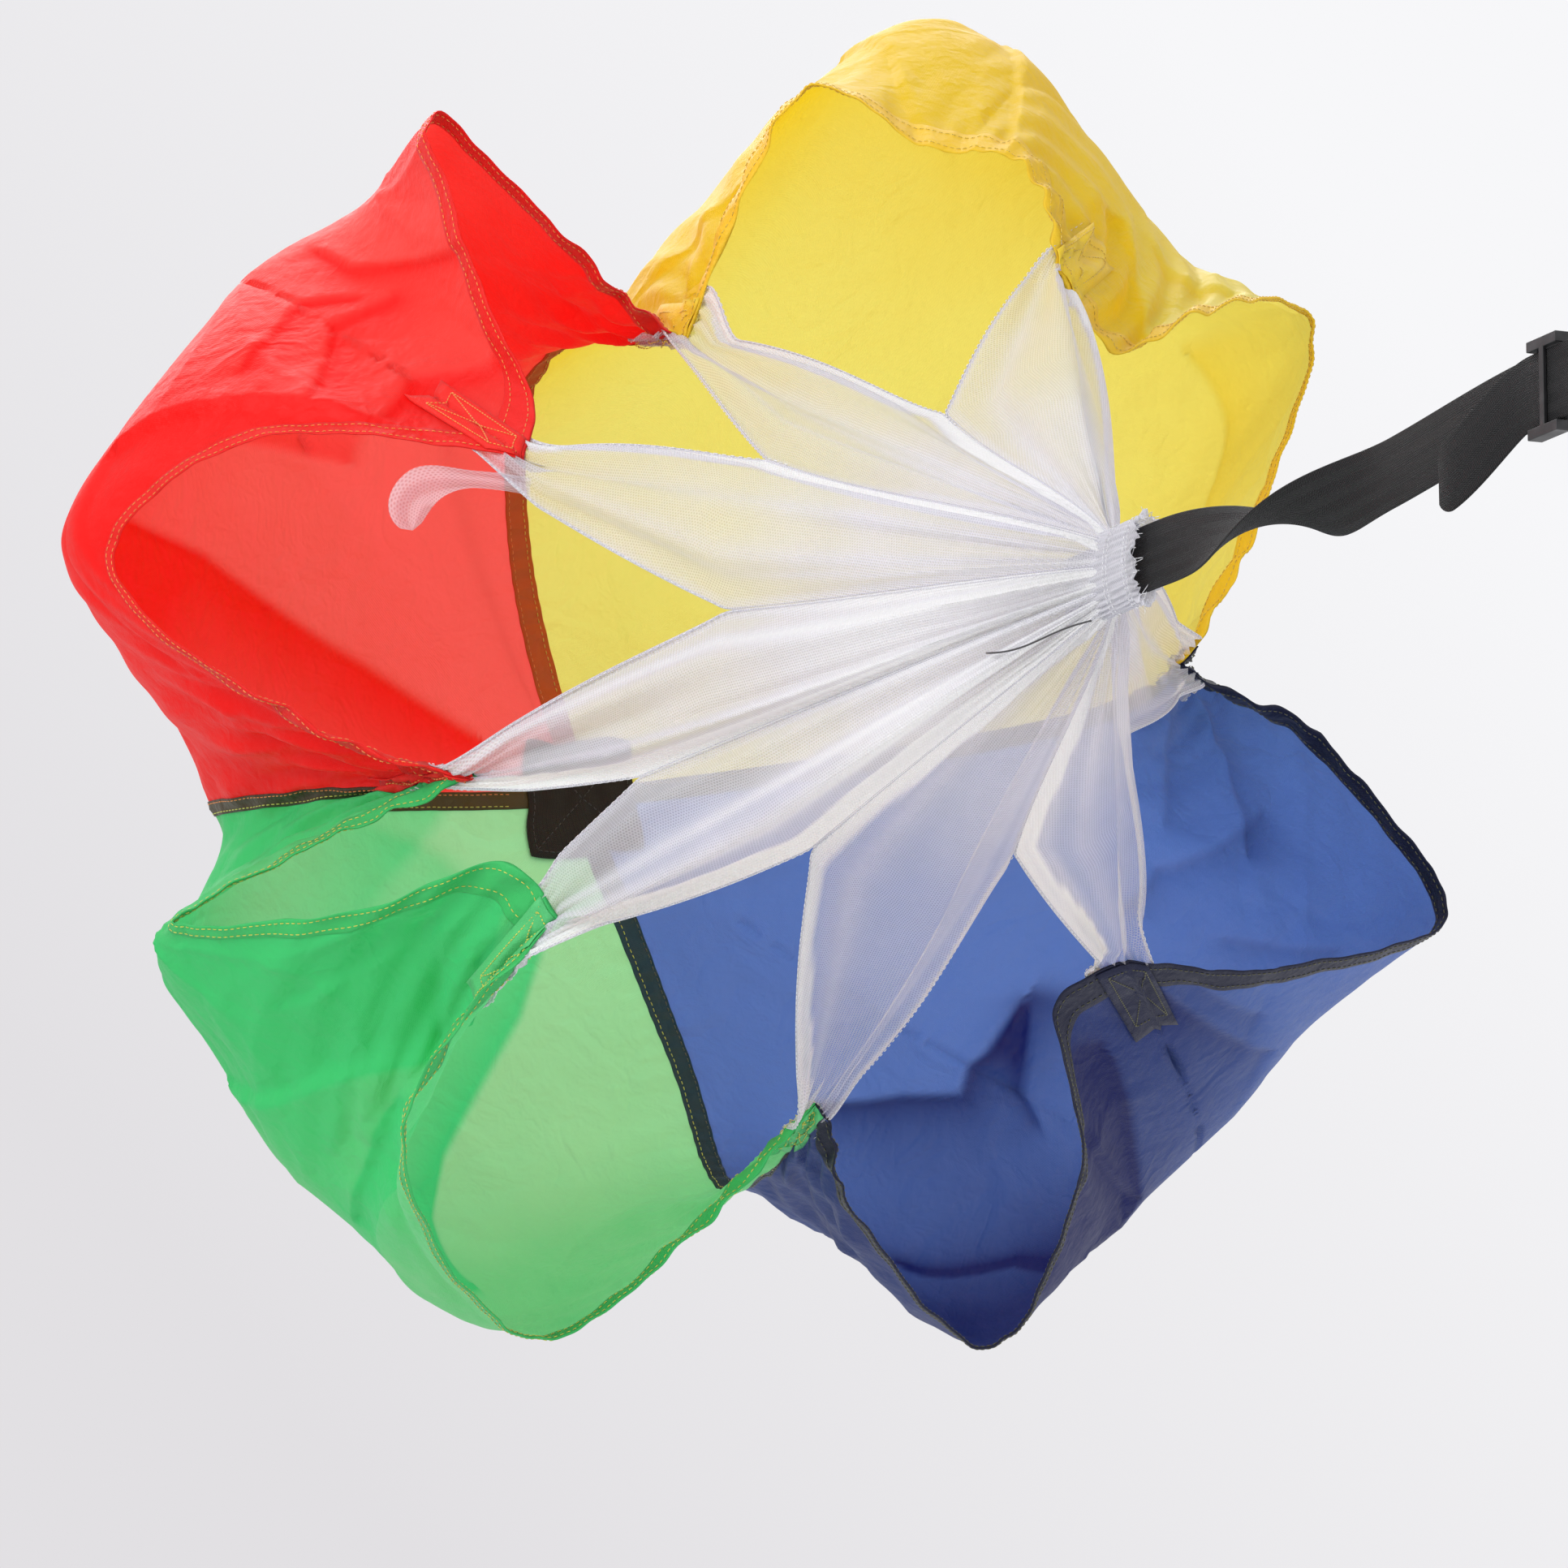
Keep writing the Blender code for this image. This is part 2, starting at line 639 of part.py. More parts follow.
def strap_stations():
    """Centre, roll and width of the tow strap, from inside the cone to its free tail."""
    layer = (WEBBING_T + GAP) / 2
    wire = RING_WIRE_D / 2
    leg = wire + GAP + WEBBING_T / 2
    inner = RING_RADIUS - wire
    fold_x = RING_X - math.sqrt(inner ** 2 - (LOOP_WIDTH / 2) ** 2) + GAP - wire - GAP
    stations = []
    start = COLLAR_X - COLLAR_LENGTH / 2 - STRAP_TONGUE
    doubled = BOW_X - DOUBLED_LENGTH
    twist_start = COLLAR_X + TWIST_FROM_COLLAR - TWIST_LENGTH / 2
    free = doubled - COLLAR_X - COLLAR_LENGTH / 2
    for x in np.linspace(start, COLLAR_X + COLLAR_LENGTH / 2, 4):
        stations.append((x, layer, 0.0, 180.0, WEBBING_WIDTH))
    for share in np.linspace(0, 1, STRAP_STEPS)[1:]:
        x = COLLAR_X + COLLAR_LENGTH / 2 + share * free
        sag = -STRAP_SAG * math.sin(math.pi * share) ** 2
        roll = 180.0 * (1 - smooth_step((x - twist_start) / TWIST_LENGTH))
        stations.append((x, layer, sag, roll, WEBBING_WIDTH))
    taper_start = BOW_X - wire - LOOP_TAPER
    for share in TAPER_STEP_SHARES:
        x = taper_start + share * (LOOP_TAPER - wire)
        width = WEBBING_WIDTH + (LOOP_WIDTH - WEBBING_WIDTH) * share
        stations.append((x, layer + (leg - layer) * share, 0.0, 0.0, width))
    for step in range(ARC_STEPS + 1):
        turn = math.pi / 2 - math.pi * step / ARC_STEPS
        stations.append((fold_x + leg * math.cos(turn), leg * math.sin(turn), 0.0, 0.0, LOOP_WIDTH))
    for share in reversed(TAPER_STEP_SHARES):
        x = taper_start + share * (LOOP_TAPER - wire)
        width = WEBBING_WIDTH + (LOOP_WIDTH - WEBBING_WIDTH) * share
        stations.append((x, -layer - (leg - layer) * share, 0.0, 0.0, width))
    for share in TAIL_STEP_SHARES:
        spread = smooth_step(share)
        x = doubled - ADJUSTER_LENGTH / 2 - TAIL_LENGTH * share
        y = -layer - TAIL_SPREAD * spread
        stations.append((x, y, -TAIL_DROP * spread, 0.0, WEBBING_WIDTH))
    return stations


def make_tow_strap():
    stations = strap_stations()
    centres = [station[:3] for station in stations]
    rolls = [station[3] for station in stations]
    widths = [station[4] for station in stations]
    look = material("black_webbing", 0.85)
    pivot = (RING_X, 0.0, 0.0)
    ribbon("tow_strap", centres, widths, WEBBING_T, look, rolls, pivot)


def box_points(low, high):
    return [
        (x, y, z) for x in (low[0], high[0]) for y in (low[1], high[1]) for z in (low[2], high[2])
    ]


BOX_FACES = [(0, 1, 3, 2), (4, 6, 7, 5), (0, 4, 5, 1), (2, 3, 7, 6), (0, 2, 6, 4), (1, 5, 7, 3)]


def box(name, low, high, look, pivot=(0.0, 0.0, 0.0)):
    return add_object(name, box_points(low, high), BOX_FACES, look, pivot)


def cut(target, cutters, operation="DIFFERENCE"):
    """Apply exact Booleans with each cutter in turn, and remove the cutters."""
    for cutter in cutters:
        modifier = target.modifiers.new(cutter.name, "BOOLEAN")
        modifier.operation = operation
        modifier.solver = "EXACT"
        modifier.object = cutter
    graph = bpy.context.evaluated_depsgraph_get()
    mesh = bpy.data.meshes.new_from_object(target.evaluated_get(graph))
    target.modifiers.clear()
    target.data = mesh
    for cutter in cutters:
        bpy.data.objects.remove(cutter, do_unlink=True)
    return target


def make_adjuster():
    """The slide that holds the strap's two layers: end bars on one face, a bar on the other."""
    x = BOW_X - DOUBLED_LENGTH
    look = material("black_plastic", 0.4)
    half = WEBBING_WIDTH / 2 + GAP + GAP
    layers = WEBBING_T + GAP / 2 + GAP
    outer = layers + ADJUSTER_T
    pivot = (x, 0.0, 0.0)
    low = (x - ADJUSTER_LENGTH / 2, -outer, -half - ADJUSTER_RAIL)
    high = (x + ADJUSTER_LENGTH / 2, outer, half + ADJUSTER_RAIL)
    frame = box("strap_adjuster", low, high, look, pivot)
    end = ADJUSTER_LENGTH / 2 - ADJUSTER_BAR
    reach = ADJUSTER_LENGTH / 2 + OVERRUN
    over = outer + OVERRUN
    cutters = [
        box("cut_layers", (x - reach, -layers, -half), (x + reach, layers, half), look),
        box("cut_front", (x - end, 0, -half), (x + end, over, half), look),
    ]
    for side in (-1, 1):
        near, far = sorted((x + side * ADJUSTER_BAR / 2, x + side * reach))
        cutters.append(box(f"cut_back_{side}", (near, -over, -half), (far, 0, half), look))
    cut(frame, cutters)


def make_ring():
    """The D of round wire: a straight bar, two small corners and a half-round bow."""
    corner_z = math.sqrt((RING_RADIUS - RING_CORNER) ** 2 - RING_CORNER ** 2)
    lean = math.atan2(corner_z, -RING_CORNER)
    points = [(RING_X, z) for z in np.linspace(-corner_z, corner_z, 4)]
    for step in range(1, 5):
        turn = lean * step / 4
        x = RING_X - RING_CORNER + RING_CORNER * math.cos(turn)
        points.append((x, corner_z + RING_CORNER * math.sin(turn)))
    for step in range(1, WIRE_STEPS):
        turn = lean + (2 * math.pi - 2 * lean) * step / WIRE_STEPS
        points.append((RING_X + RING_RADIUS * math.cos(turn), RING_RADIUS * math.sin(turn)))
    for step in range(4, 0, -1):
        turn = lean * step / 4
        x = RING_X - RING_CORNER + RING_CORNER * math.cos(turn)
        points.append((x, -corner_z - RING_CORNER * math.sin(turn)))
    curve = bpy.data.curves.new("tow_ring", "CURVE")
    curve.dimensions = "3D"
    curve.bevel_depth = RING_WIRE_D / 2
    curve.bevel_resolution = 2
    spline = curve.splines.new("POLY")
    spline.points.add(len(points) - 1)
    spline.use_cyclic_u = True
    for point, (x, z) in zip(spline.points, points):
        point.co = (x - RING_X, 0.0, z, 1.0)
    curve.materials.append(material("steel", 0.25, 1.0))
    ring = bpy.data.objects.new("tow_ring", curve)
    ring.location = (RING_X, 0.0, 0.0)
    bpy.context.collection.objects.link(ring)


def make_ring_keeper():
    """The webbing sewn on the belt that goes round the ring's bar."""
    around = RING_WIRE_D / 2 + GAP + WEBBING_T / 2
    side = [(KEEPER_X, KEEPER_HALF_LENGTH), (KEEPER_X, (KEEPER_HALF_LENGTH + around) / 2)]
    side += [(KEEPER_X, around + 2 * WEBBING_T), (KEEPER_X - GAP, around + WEBBING_T)]
    side += [((KEEPER_X + RING_X) / 2, around + GAP)]
    path = list(side)
    for step in range(ARC_STEPS + 1):
        turn = math.pi / 2 + math.pi * step / ARC_STEPS
        path.append((RING_X + around * math.cos(turn), around * math.sin(turn)))
    path += [(x, -y) for x, y in reversed(side)]
    centres = [(x, y, 0.0) for x, y in path]
    ribbon("ring_keeper", centres, KEEPER_HEIGHT, WEBBING_T, material("black_webbing"))


def rounded_outline(half_y, half_z, corner):
    """Points round a rounded rectangle, the same number for any size."""
    points = []
    for quarter, (sy, sz) in enumerate(((1, 1), (-1, 1), (-1, -1), (1, -1))):
        for step in range(PAD_CORNER_STEPS + 1):
            turn = math.pi / 2 * (quarter + step / PAD_CORNER_STEPS)
            y = sy * (half_y - corner) + corner * math.cos(turn)
            points.append((y, sz * (half_z - corner) + corner * math.sin(turn)))
    return points


def plate(name, x_low, x_high, outline, look):
    """A flat plate between two planes across X."""
    count = len(outline)
    points = [(x_low, y, z) for y, z in outline] + [(x_high, y, z) for y, z in outline]
    faces = [tuple(range(count))[::-1], tuple(range(count, 2 * count))]
    for i in range(count):
        j = (i + 1) % count
        faces.append((i, j, count + j, count + i))
    return add_object(name, points, faces, look)


def frame_plate(name, x_low, x_high, inner, outer, look):
    """A flat ring between two outlines with the same number of points."""
    count = len(inner)
    points = []
    for x in (x_low, x_high):
        for outline in (inner, outer):
            points += [(x, y, z) for y, z in outline]
    faces = []
    for i in range(count):
        j = (i + 1) % count
        faces.append((i, count + i, count + j, j)[::-1])
        faces.append((2 * count + i, 3 * count + i, 3 * count + j, 2 * count + j))
        faces.append((count + i, count + j, 3 * count + j, 3 * count + i))
        faces.append((i, 2 * count + i, 2 * count + j, j))
    return add_object(name, points, faces, look)


def make_pad():
    """Lining against the back, foam, backing and the tape bound round their edges."""
    outline = rounded_outline(PAD_HALF_WIDTH, PAD_HALF_HEIGHT, PAD_CORNER)
    black = material("black_webbing", 0.85)
    plate("pad_lining", -LINING_T, 0.0, outline, black)
    foam_front = -LINING_T - GAP
    foam_back = foam_front - FOAM_T
    plate("pad_foam", foam_back, foam_front, outline, material("foam", 0.95))
    plate("pad_backing", -PAD_T, foam_back - GAP, outline, black)
    inner = rounded_outline(PAD_HALF_WIDTH + GAP, PAD_HALF_HEIGHT + GAP, PAD_CORNER + GAP)
    reach = GAP + BINDING_WALL
    outer = rounded_outline(PAD_HALF_WIDTH + reach, PAD_HALF_HEIGHT + reach, PAD_CORNER + reach)
    frame_plate("pad_binding", -PAD_T, -GAP, inner, outer, black)


def bent(along, up, out):
    """A point in the buckle's own measures: along its arc round the belt hinge, up, out."""
    turn = along / BUCKLE_R
    radius = BUCKLE_R + out
    return (BELT_X + radius * math.cos(turn), HINGE_Y + radius * math.sin(turn), up)


def bent_bar(name, stations, look, pivot=(0.0, 0.0, 0.0)):
    """A bar along the buckle's arc; each station is (along, low, high, inner, outer)."""
    points = []
    for along, low, high, inner, outer in stations:
        points += [bent(along, low, inner), bent(along, high, inner)]
        points += [bent(along, high, outer), bent(along, low, outer)]
    return add_object(name, points, bar_faces(len(stations)), look, pivot)


def bent_block(name, start, end, low, high, inner, outer, look, pivot=(0.0, 0.0, 0.0)):
    places = np.linspace(start, end, BUCKLE_STEPS + 1)
    stations = [(place, low, high, inner, outer) for place in places]
    return bent_bar(name, stations, look, pivot)


def bar_cutters(bar_low, bar_high, slot_low, slot_high, look):
    """The slot beside a webbing bar, and the cuts that make the bar thinner than its rails."""
    half = WEBBING_WIDTH / 2 + 2 * GAP
    out = BUCKLE_T / 2 + OVERRUN
    bar = WEBBING_BAR_T / 2
    return [
        bent_block("cut_slot", slot_low, slot_high, -half, half, -out, out, look),
        bent_block("cut_bar_outer", bar_low, bar_high, -half, half, bar, out, look),
        bent_block("cut_bar_inner", bar_low, bar_high, -half, half, -out, -bar, look),
    ]


def make_buckle():
    look = material("black_plastic", 0.4)
    half = BUCKLE_T / 2
    narrow, wide = SOCKET_HALF_HEIGHT, BUCKLE_HALF_HEIGHT
    neck = CHANNEL_DEPTH + BUCKLE_WALL
    stations = [(share * CHANNEL_DEPTH, -narrow, narrow, -half, half) for share in (0, .25, .5, .75, 1)]
    stations += [(neck, -wide, wide, -half, half), (SOCKET_LENGTH, -wide, wide, -half, half)]
    socket = bent_bar("buckle_socket", stations, look)
    channel, high = CHANNEL_T / 2, CHANNEL_HALF_HEIGHT
    cutters = [
        bent_block("cut_channel", -OVERRUN, CHANNEL_DEPTH, -high, high, -channel, channel, look),
    ]
    over = narrow + OVERRUN
    window_start = BARB_START - PRONG_CLEARANCE
    window_end = BARB_START + BARB_LENGTH + PRONG_CLEARANCE
    for side in (-1, 1):
        low, top = sorted((side * high / 2, side * over))
        name = f"cut_window_{side}"
        cutters.append(bent_block(name, window_start, window_end, low, top, -channel, channel, look))
    bar_start = SOCKET_LENGTH - BAR_LENGTH
    slot = (bar_start - SLOT_LENGTH, bar_start)
    cutters += bar_cutters(bar_start - GAP, SOCKET_LENGTH + OVERRUN, *slot, look)
    cut(socket, cutters)

    pivot = (BELT_X, HINGE_Y, 0.0)
    body_end = -GAP
    plug = bent_block("buckle_plug", -PLUG_LENGTH, body_end, -wide, wide, -half, half, look, pivot)
    bar_end = -PLUG_LENGTH + BAR_LENGTH
    slot = (bar_end, bar_end + SLOT_LENGTH)
    cut(plug, bar_cutters(-PLUG_LENGTH - OVERRUN, bar_end + GAP, *slot, look))
    thin = channel - BUCKLE_CLEARANCE
    spine_end = CHANNEL_DEPTH - OVERRUN
    spine = bent_block(
        "spine", body_end - SLOT_LENGTH / 2, spine_end, -SPINE_HALF_HEIGHT, SPINE_HALF_HEIGHT,
        -thin, thin, look,
    )
    cut(plug, [spine], "UNION")
    for name, side in (("upper", 1), ("lower", -1)):
        make_prong(name, side, thin, look)


def prong_middle():
    return (SPINE_HALF_HEIGHT + CHANNEL_HALF_HEIGHT + PRONG_WIDTH) / 2 - GAP


def make_prong(name, side, thin, look):
    """One sprung arm of the plug, with the barb that stands in the socket's window."""
    middle = prong_middle()
    inner = middle - PRONG_WIDTH / 2
    wall = CHANNEL_HALF_HEIGHT - GAP
    crest = CHANNEL_HALF_HEIGHT + BARB_STAND
    barb_end = BARB_START + BARB_LENGTH
    profile = [
        (GAP, middle - PRONG_ROOT / 2, middle + PRONG_ROOT / 2),
        (PRONG_ROOT, inner, middle + PRONG_WIDTH / 2),
        (BARB_START - GAP, inner, middle + PRONG_WIDTH / 2),
        (BARB_START, inner, crest),
        (barb_end - PRONG_WIDTH / 2, inner, crest),
        (barb_end, inner, wall),
        (PRONG_LENGTH, inner + PRONG_WIDTH / 4, wall - PRONG_WIDTH / 4),
    ]
    stations = []
    for along, low, high in profile:
        low, high = sorted((side * low, side * high))
        stations.append((along, low, high, -thin, thin))
    pivot = bent(0.0, side * middle, 0.0)
    bent_bar(f"prong_{name}", stations, look, pivot)


def eased(start, start_way, end, end_way, steps):
    """Points along a smooth bend between two points with given directions."""
    start, end = np.array(start, float), np.array(end, float)
    reach = np.linalg.norm(end - start) * BEND_SHARE
    ways = [np.array(way, float) * reach for way in (start_way, end_way)]
    shares = np.linspace(0, 1, steps + 1)
    return [hermite(start, ways[0], end, ways[1], share, 1) for share in shares]


def around_bar(along, way, lead):
    """A webbing's turn round a buckle bar, from its inner leg to its outer one."""
    leg = math.hypot(BAR_LENGTH, WEBBING_BAR_T) / 2 + GAP + WEBBING_T / 2
    path = [bent(along + way * lead, 0.0, -leg)]
    for step in range(ARC_STEPS + 1):
        turn = -math.pi / 2 + math.pi * step / ARC_STEPS
        path.append(bent(along - way * leg * math.cos(turn), 0.0, leg * math.sin(turn)))
    path.append(bent(along + way * lead, 0.0, leg))
    return path


def layered(path, offset):
    """The same path moved sideways in plan, for a second layer of webbing."""
    points = np.array(path)
    moved = []
    for i, point in enumerate(points):
        ahead = points[min(i + 1, len(points) - 1)] - points[max(i - 1, 0)]
        side = unit(np.array([ahead[1], -ahead[0], 0.0]))
        moved.append(point + side * offset)
    return moved


def make_left_webbing():
    """From the hinge end behind the pad, round the left side, the socket's bar and back."""
    bar = SOCKET_LENGTH - BAR_LENGTH / 2
    turn = around_bar(bar, 1, BAR_LEAD)
    side_low = (SIDE_START_SHARE * WAIST_DEPTH, WAIST_HALF_WIDTH, 0.0)
    side_high = (SIDE_END_SHARE * WAIST_DEPTH, WAIST_HALF_WIDTH, 0.0)
    first = HINGE_Y + WEBBING_T / 2 + GAP
    back = [(BELT_X, y, 0.0) for y in (first, 0.0, PAD_HALF_WIDTH + BINDING_WALL)]
    rounding = eased(back[-1], (0, 1, 0), side_low, (1, 0, 0), BEND_STEPS)
    arrival = unit(np.array(turn[1]) - np.array(turn[0]))
    joined = np.array(turn[0]) - arrival * SEWN_RETURN / 2
    front = eased(side_high, (1, 0, 0), joined, arrival, BEND_STEPS)
    sides = [side_low, *[tuple(p) for p in front]]
    main = back[:-1] + [tuple(p) for p in rounding] + [tuple(p) for p in front]
    second = layered(list(reversed(sides)), WEBBING_T + GAP)
    centres = main + turn + [tuple(p) for p in second]
    ribbon("belt_webbing_left", centres, WEBBING_WIDTH, WEBBING_T, material("black_webbing"))


def make_right_webbing():
    """The half that swings open: hinge end, right side and the plug's bar."""
    bar = -PLUG_LENGTH + BAR_LENGTH / 2
    turn = around_bar(bar, -1, BAR_LEAD)
    side = (SIDE_END_SHARE * WAIST_DEPTH / 2, -WAIST_HALF_WIDTH, 0.0)
    start = (BELT_X, HINGE_Y, 0.0)
    first = (BELT_X, HINGE_Y - WEBBING_T, 0.0)
    rounding = eased(first, (0, -1, 0), side, (1, 0, 0), BEND_STEPS)
    arrival = unit(np.array(turn[1]) - np.array(turn[0]))
    joined = np.array(turn[0]) - arrival * SEWN_RETURN / 4
    front = eased(side, (1, 0, 0), joined, arrival, BEND_STEPS)
    main = [start] + [tuple(p) for p in rounding] + [tuple(p) for p in front[1:]]
    doubled = [p for p in front if np.linalg.norm(p - joined) < SEWN_RETURN]
    second = layered(list(reversed(doubled)), -WEBBING_T - GAP)
    centres = main + turn + [tuple(p) for p in second]
    pivot = (BELT_X, HINGE_Y, 0.0)
    look = material("black_webbing")
    ribbon("belt_webbing_right", centres, WEBBING_WIDTH, WEBBING_T, look, None, pivot)


def make_tail_keeper():
    """The loop that slides on the left side and holds the webbing's doubled tail."""
    look = material("black_webbing")
    x = (SIDE_START_SHARE + SIDE_END_SHARE) / 2 * WAIST_DEPTH
    half = TAIL_KEEPER_LENGTH / 2
    low_y = WAIST_HALF_WIDTH - WEBBING_T / 2 - GAP
    high_y = WAIST_HALF_WIDTH + WEBBING_T * 3 / 2 + 2 * GAP
    high_z = WEBBING_WIDTH / 2 + GAP
    wall = TAIL_KEEPER_WALL
    pivot = (x, WAIST_HALF_WIDTH, 0.0)
    low = (x - half, low_y - wall, -high_z - wall)
    high = (x + half, high_y + wall, high_z + wall)
    keeper = box("tail_keeper", low, high, look, pivot)
    low = (x - half - OVERRUN, low_y, -high_z)
    high = (x + half + OVERRUN, high_y, high_z)
    cut(keeper, [box("cut_keeper", low, high, look)])


clear_scene()
make_quadrants()
make_seams()
make_centre_patches()
make_tab_patches()
make_tongues()
make_collar()
make_tow_strap()
make_adjuster()
make_ring()
make_ring_keeper()
make_pad()
make_left_webbing()
make_right_webbing()
make_tail_keeper()
make_buckle()
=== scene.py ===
"""The looks of the speed parachute: every fabric, net, webbing and fitting, dressed over the
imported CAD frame.  Metres, in the frame's own axes: +X the way the runner pulls, +Z up."""

import math

import bmesh
import bpy
import numpy as np
from mathutils import Matrix, Vector


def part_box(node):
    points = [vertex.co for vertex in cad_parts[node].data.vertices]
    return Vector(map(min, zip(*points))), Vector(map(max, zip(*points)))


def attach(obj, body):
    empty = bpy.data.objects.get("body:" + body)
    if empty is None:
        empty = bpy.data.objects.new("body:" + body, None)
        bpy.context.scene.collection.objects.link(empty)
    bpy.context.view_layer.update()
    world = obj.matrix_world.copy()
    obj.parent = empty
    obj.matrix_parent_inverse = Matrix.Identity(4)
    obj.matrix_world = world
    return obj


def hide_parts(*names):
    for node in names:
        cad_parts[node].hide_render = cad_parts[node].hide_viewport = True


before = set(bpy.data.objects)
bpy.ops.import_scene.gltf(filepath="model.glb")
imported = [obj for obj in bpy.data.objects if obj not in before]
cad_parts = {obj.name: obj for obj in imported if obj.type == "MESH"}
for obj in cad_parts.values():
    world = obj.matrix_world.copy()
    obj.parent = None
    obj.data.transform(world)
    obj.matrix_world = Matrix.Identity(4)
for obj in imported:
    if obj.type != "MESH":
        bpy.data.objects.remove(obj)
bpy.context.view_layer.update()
RANDOM = np.random.default_rng(7)

# ---------------------------------------------------------------------------------------
# Sizes.  The driving ones repeat the part's; places come from the frame's own boxes.

CANOPY_SIDE = 1.0
HALF_SIDE = CANOPY_SIDE / 2
HEM_T = 0.0016
CENTRE_PATCH_SIDE = 0.090
# How much of the part's patch, whose outline follows the lobes, its true square covers.
PATCH_SQUARE_SHARE = 0.83
TAB_PATCH_SIDE = 0.035
MESH_T = 0.0008
GAP = 0.0003
CONE_LENGTH = 0.800
COLLAR_LENGTH = 0.044
NECK_HALF_HEIGHT = 0.0220
NECK_HALF_THICKNESS = 0.0050
COLLAR_HELD_SHARE = 0.8
COLLAR_LOW, COLLAR_HIGH = (np.array(corner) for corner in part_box("mesh_collar"))
APEX_X = COLLAR_LOW[0] - CONE_LENGTH
CROWN = np.array([APEX_X, 0.0, 0.0])
LOBES = 8

# The edge of the inflated canopy, as in the part: place along the edge in half sides, then
# distance from the axis, angle in degrees from +Y towards +Z, and distance ahead of the
# crown.  Both distances are shares of the side.
EDGE_SHARES = (
    ((0, .244, 100, .280), (.25, .306, 112, .300), (.5, .415, 122, .320),
     (.72, .335, 129, .350), (.9, .243, 138, .385), (1, .232, 147, .400)),
    ((1, .232, 147, .400), (1.25, .355, 155, .310), (1.5, .402, 167, .220),
     (1.75, .312, 181, .280), (2, .205, 195, .340)),
    ((2, .205, 195, .340), (2.25, .285, 198, .260), (2.5, .375, 201, .220),
     (2.75, .300, 207, .320), (2.92, .222, 211, .385), (3, .220, 221, .390)),
    ((3, .220, 221, .390), (3.25, .366, 228, .340), (3.5, .397, 252, .220),
     (3.75, .319, 264, .260), (4, .237, 279, .300)),
    ((4, .237, 279, .300), (4.25, .302, 285, .260), (4.5, .417, 300, .180),
     (4.75, .337, 310, .300), (4.92, .235, 314, .385), (5, .248, 323, .400)),
    ((5, .248, 323, .400), (5.25, .352, 336, .370), (5.5, .463, 348, .340),
     (5.75, .372, 361, .340), (6, .260, 370, .360)),
    ((6, .260, 370, .360), (6.25, .352, 386, .360), (6.5, .451, 398, .350),
     (6.75, .355, 406, .420), (6.92, .272, 414, .450), (7, .293, 424, .460)),
    ((7, .293, 424, .460), (7.25, .357, 430, .420), (7.5, .362, 438, .380),
     (7.75, .386, 449, .335), (7.9, .312, 454, .310), (8, .244, 460, .280)),
)
# The belly of the canopy, every half lobe, in the same three values.
BELLY_SHARES = (
    (.270, 104, .095), (.370, 119, .120), (.402, 136, .160), (.405, 165, .150),
    (.285, 188, .095), (.350, 206, .120), (.370, 229, .160), (.352, 249, .110),
    (.270, 284, .100), (.385, 303, .110), (.424, 326, .170), (.415, 346, .170),
    (.310, 370, .120), (.445, 393, .195), (.458, 411, .230), (.496, 433, .190),
)
# How far round the crown's ring is turned past the belly at each tab, in degrees.
CROWN_TURNS = (4, 0, -2, 0, 6, 0, 0, 0, 4)
CROWN_SHARE = 0.35
BELLY_SHARE = 0.70
CROWN_REACH_SHARE = 0.97
CROWN_RISE_SHARE = 0.0424
# The stations of the net cone, 0 at the tabs and 1 at the neck, at which its free rows start
# and each tongue meets the next, four of them sooner than in the part, and how far the tongues
# fall in between taut lines.
TONGUE_FIRST_STATION = .06
TONGUE_MEETING_SHARES = (.33, .37, .20, .37, .40, .34, .50, .38)
TONGUE_COLUMN_SHARES = (-1.0, -.5, 0.0, .5, 1.0)
TONGUE_VALLEY_SHARE = 0.16

QUADRANTS = ("red", "green", "blue", "yellow")
SEAM_NAMES = ("yellow_red", "red_green", "green_blue", "blue_yellow")
TAB_LETTERS = "abcdefgh"


# ---------------------------------------------------------------------------------------
# Small helpers.

def unit(vectors):
    """Vectors along the last axis, each made one long."""
    length = np.linalg.norm(vectors, axis=-1, keepdims=True)
    return vectors / np.maximum(length, 1e-12)


def srgb(red, green, blue):
    """A colour read as screen values from 0 to 255, in Blender's linear values."""
    value = np.array([red, green, blue]) / 255
    linear = np.where(value > 0.04045, ((value + 0.055) / 1.055) ** 2.4, value / 12.92)
    return (*(float(part) for part in linear), 1.0)


def ease(value):
    """0 to 1 as the value goes from 0 to 1, level at both ends."""
    value = np.clip(value, 0.0, 1.0)
    return value * value * (3 - 2 * value)


def paired(first, second):
    """Two values as arrays of one shape."""
    return np.broadcast_arrays(np.asarray(first, float), np.asarray(second, float))


def measured(points):
    """How far along a path each of its points is."""
    steps = np.linalg.norm(np.diff(points, axis=0), axis=1)
    return np.concatenate([[0.0], np.cumsum(steps)])


def arc(x, across, radius, turns):
    """Points x and across on an arc, by turns in radians from +X."""
    return np.stack([x + radius * np.cos(turns), across + radius * np.sin(turns)], axis=-1)


def headings(points, closed=False):
    """The way a path goes at each of its points, read from the points on either side."""
    if closed:
        return np.roll(points, -1, axis=0) - np.roll(points, 1, axis=0)
    after = np.concatenate([points[1:], points[-1:]])
    return after - np.concatenate([points[:1], points[:-1]])


def placed(name, data):
    """A new object in the scene."""
    thing = bpy.data.objects.new(name, data)
    bpy.context.collection.objects.link(thing)
    return thing


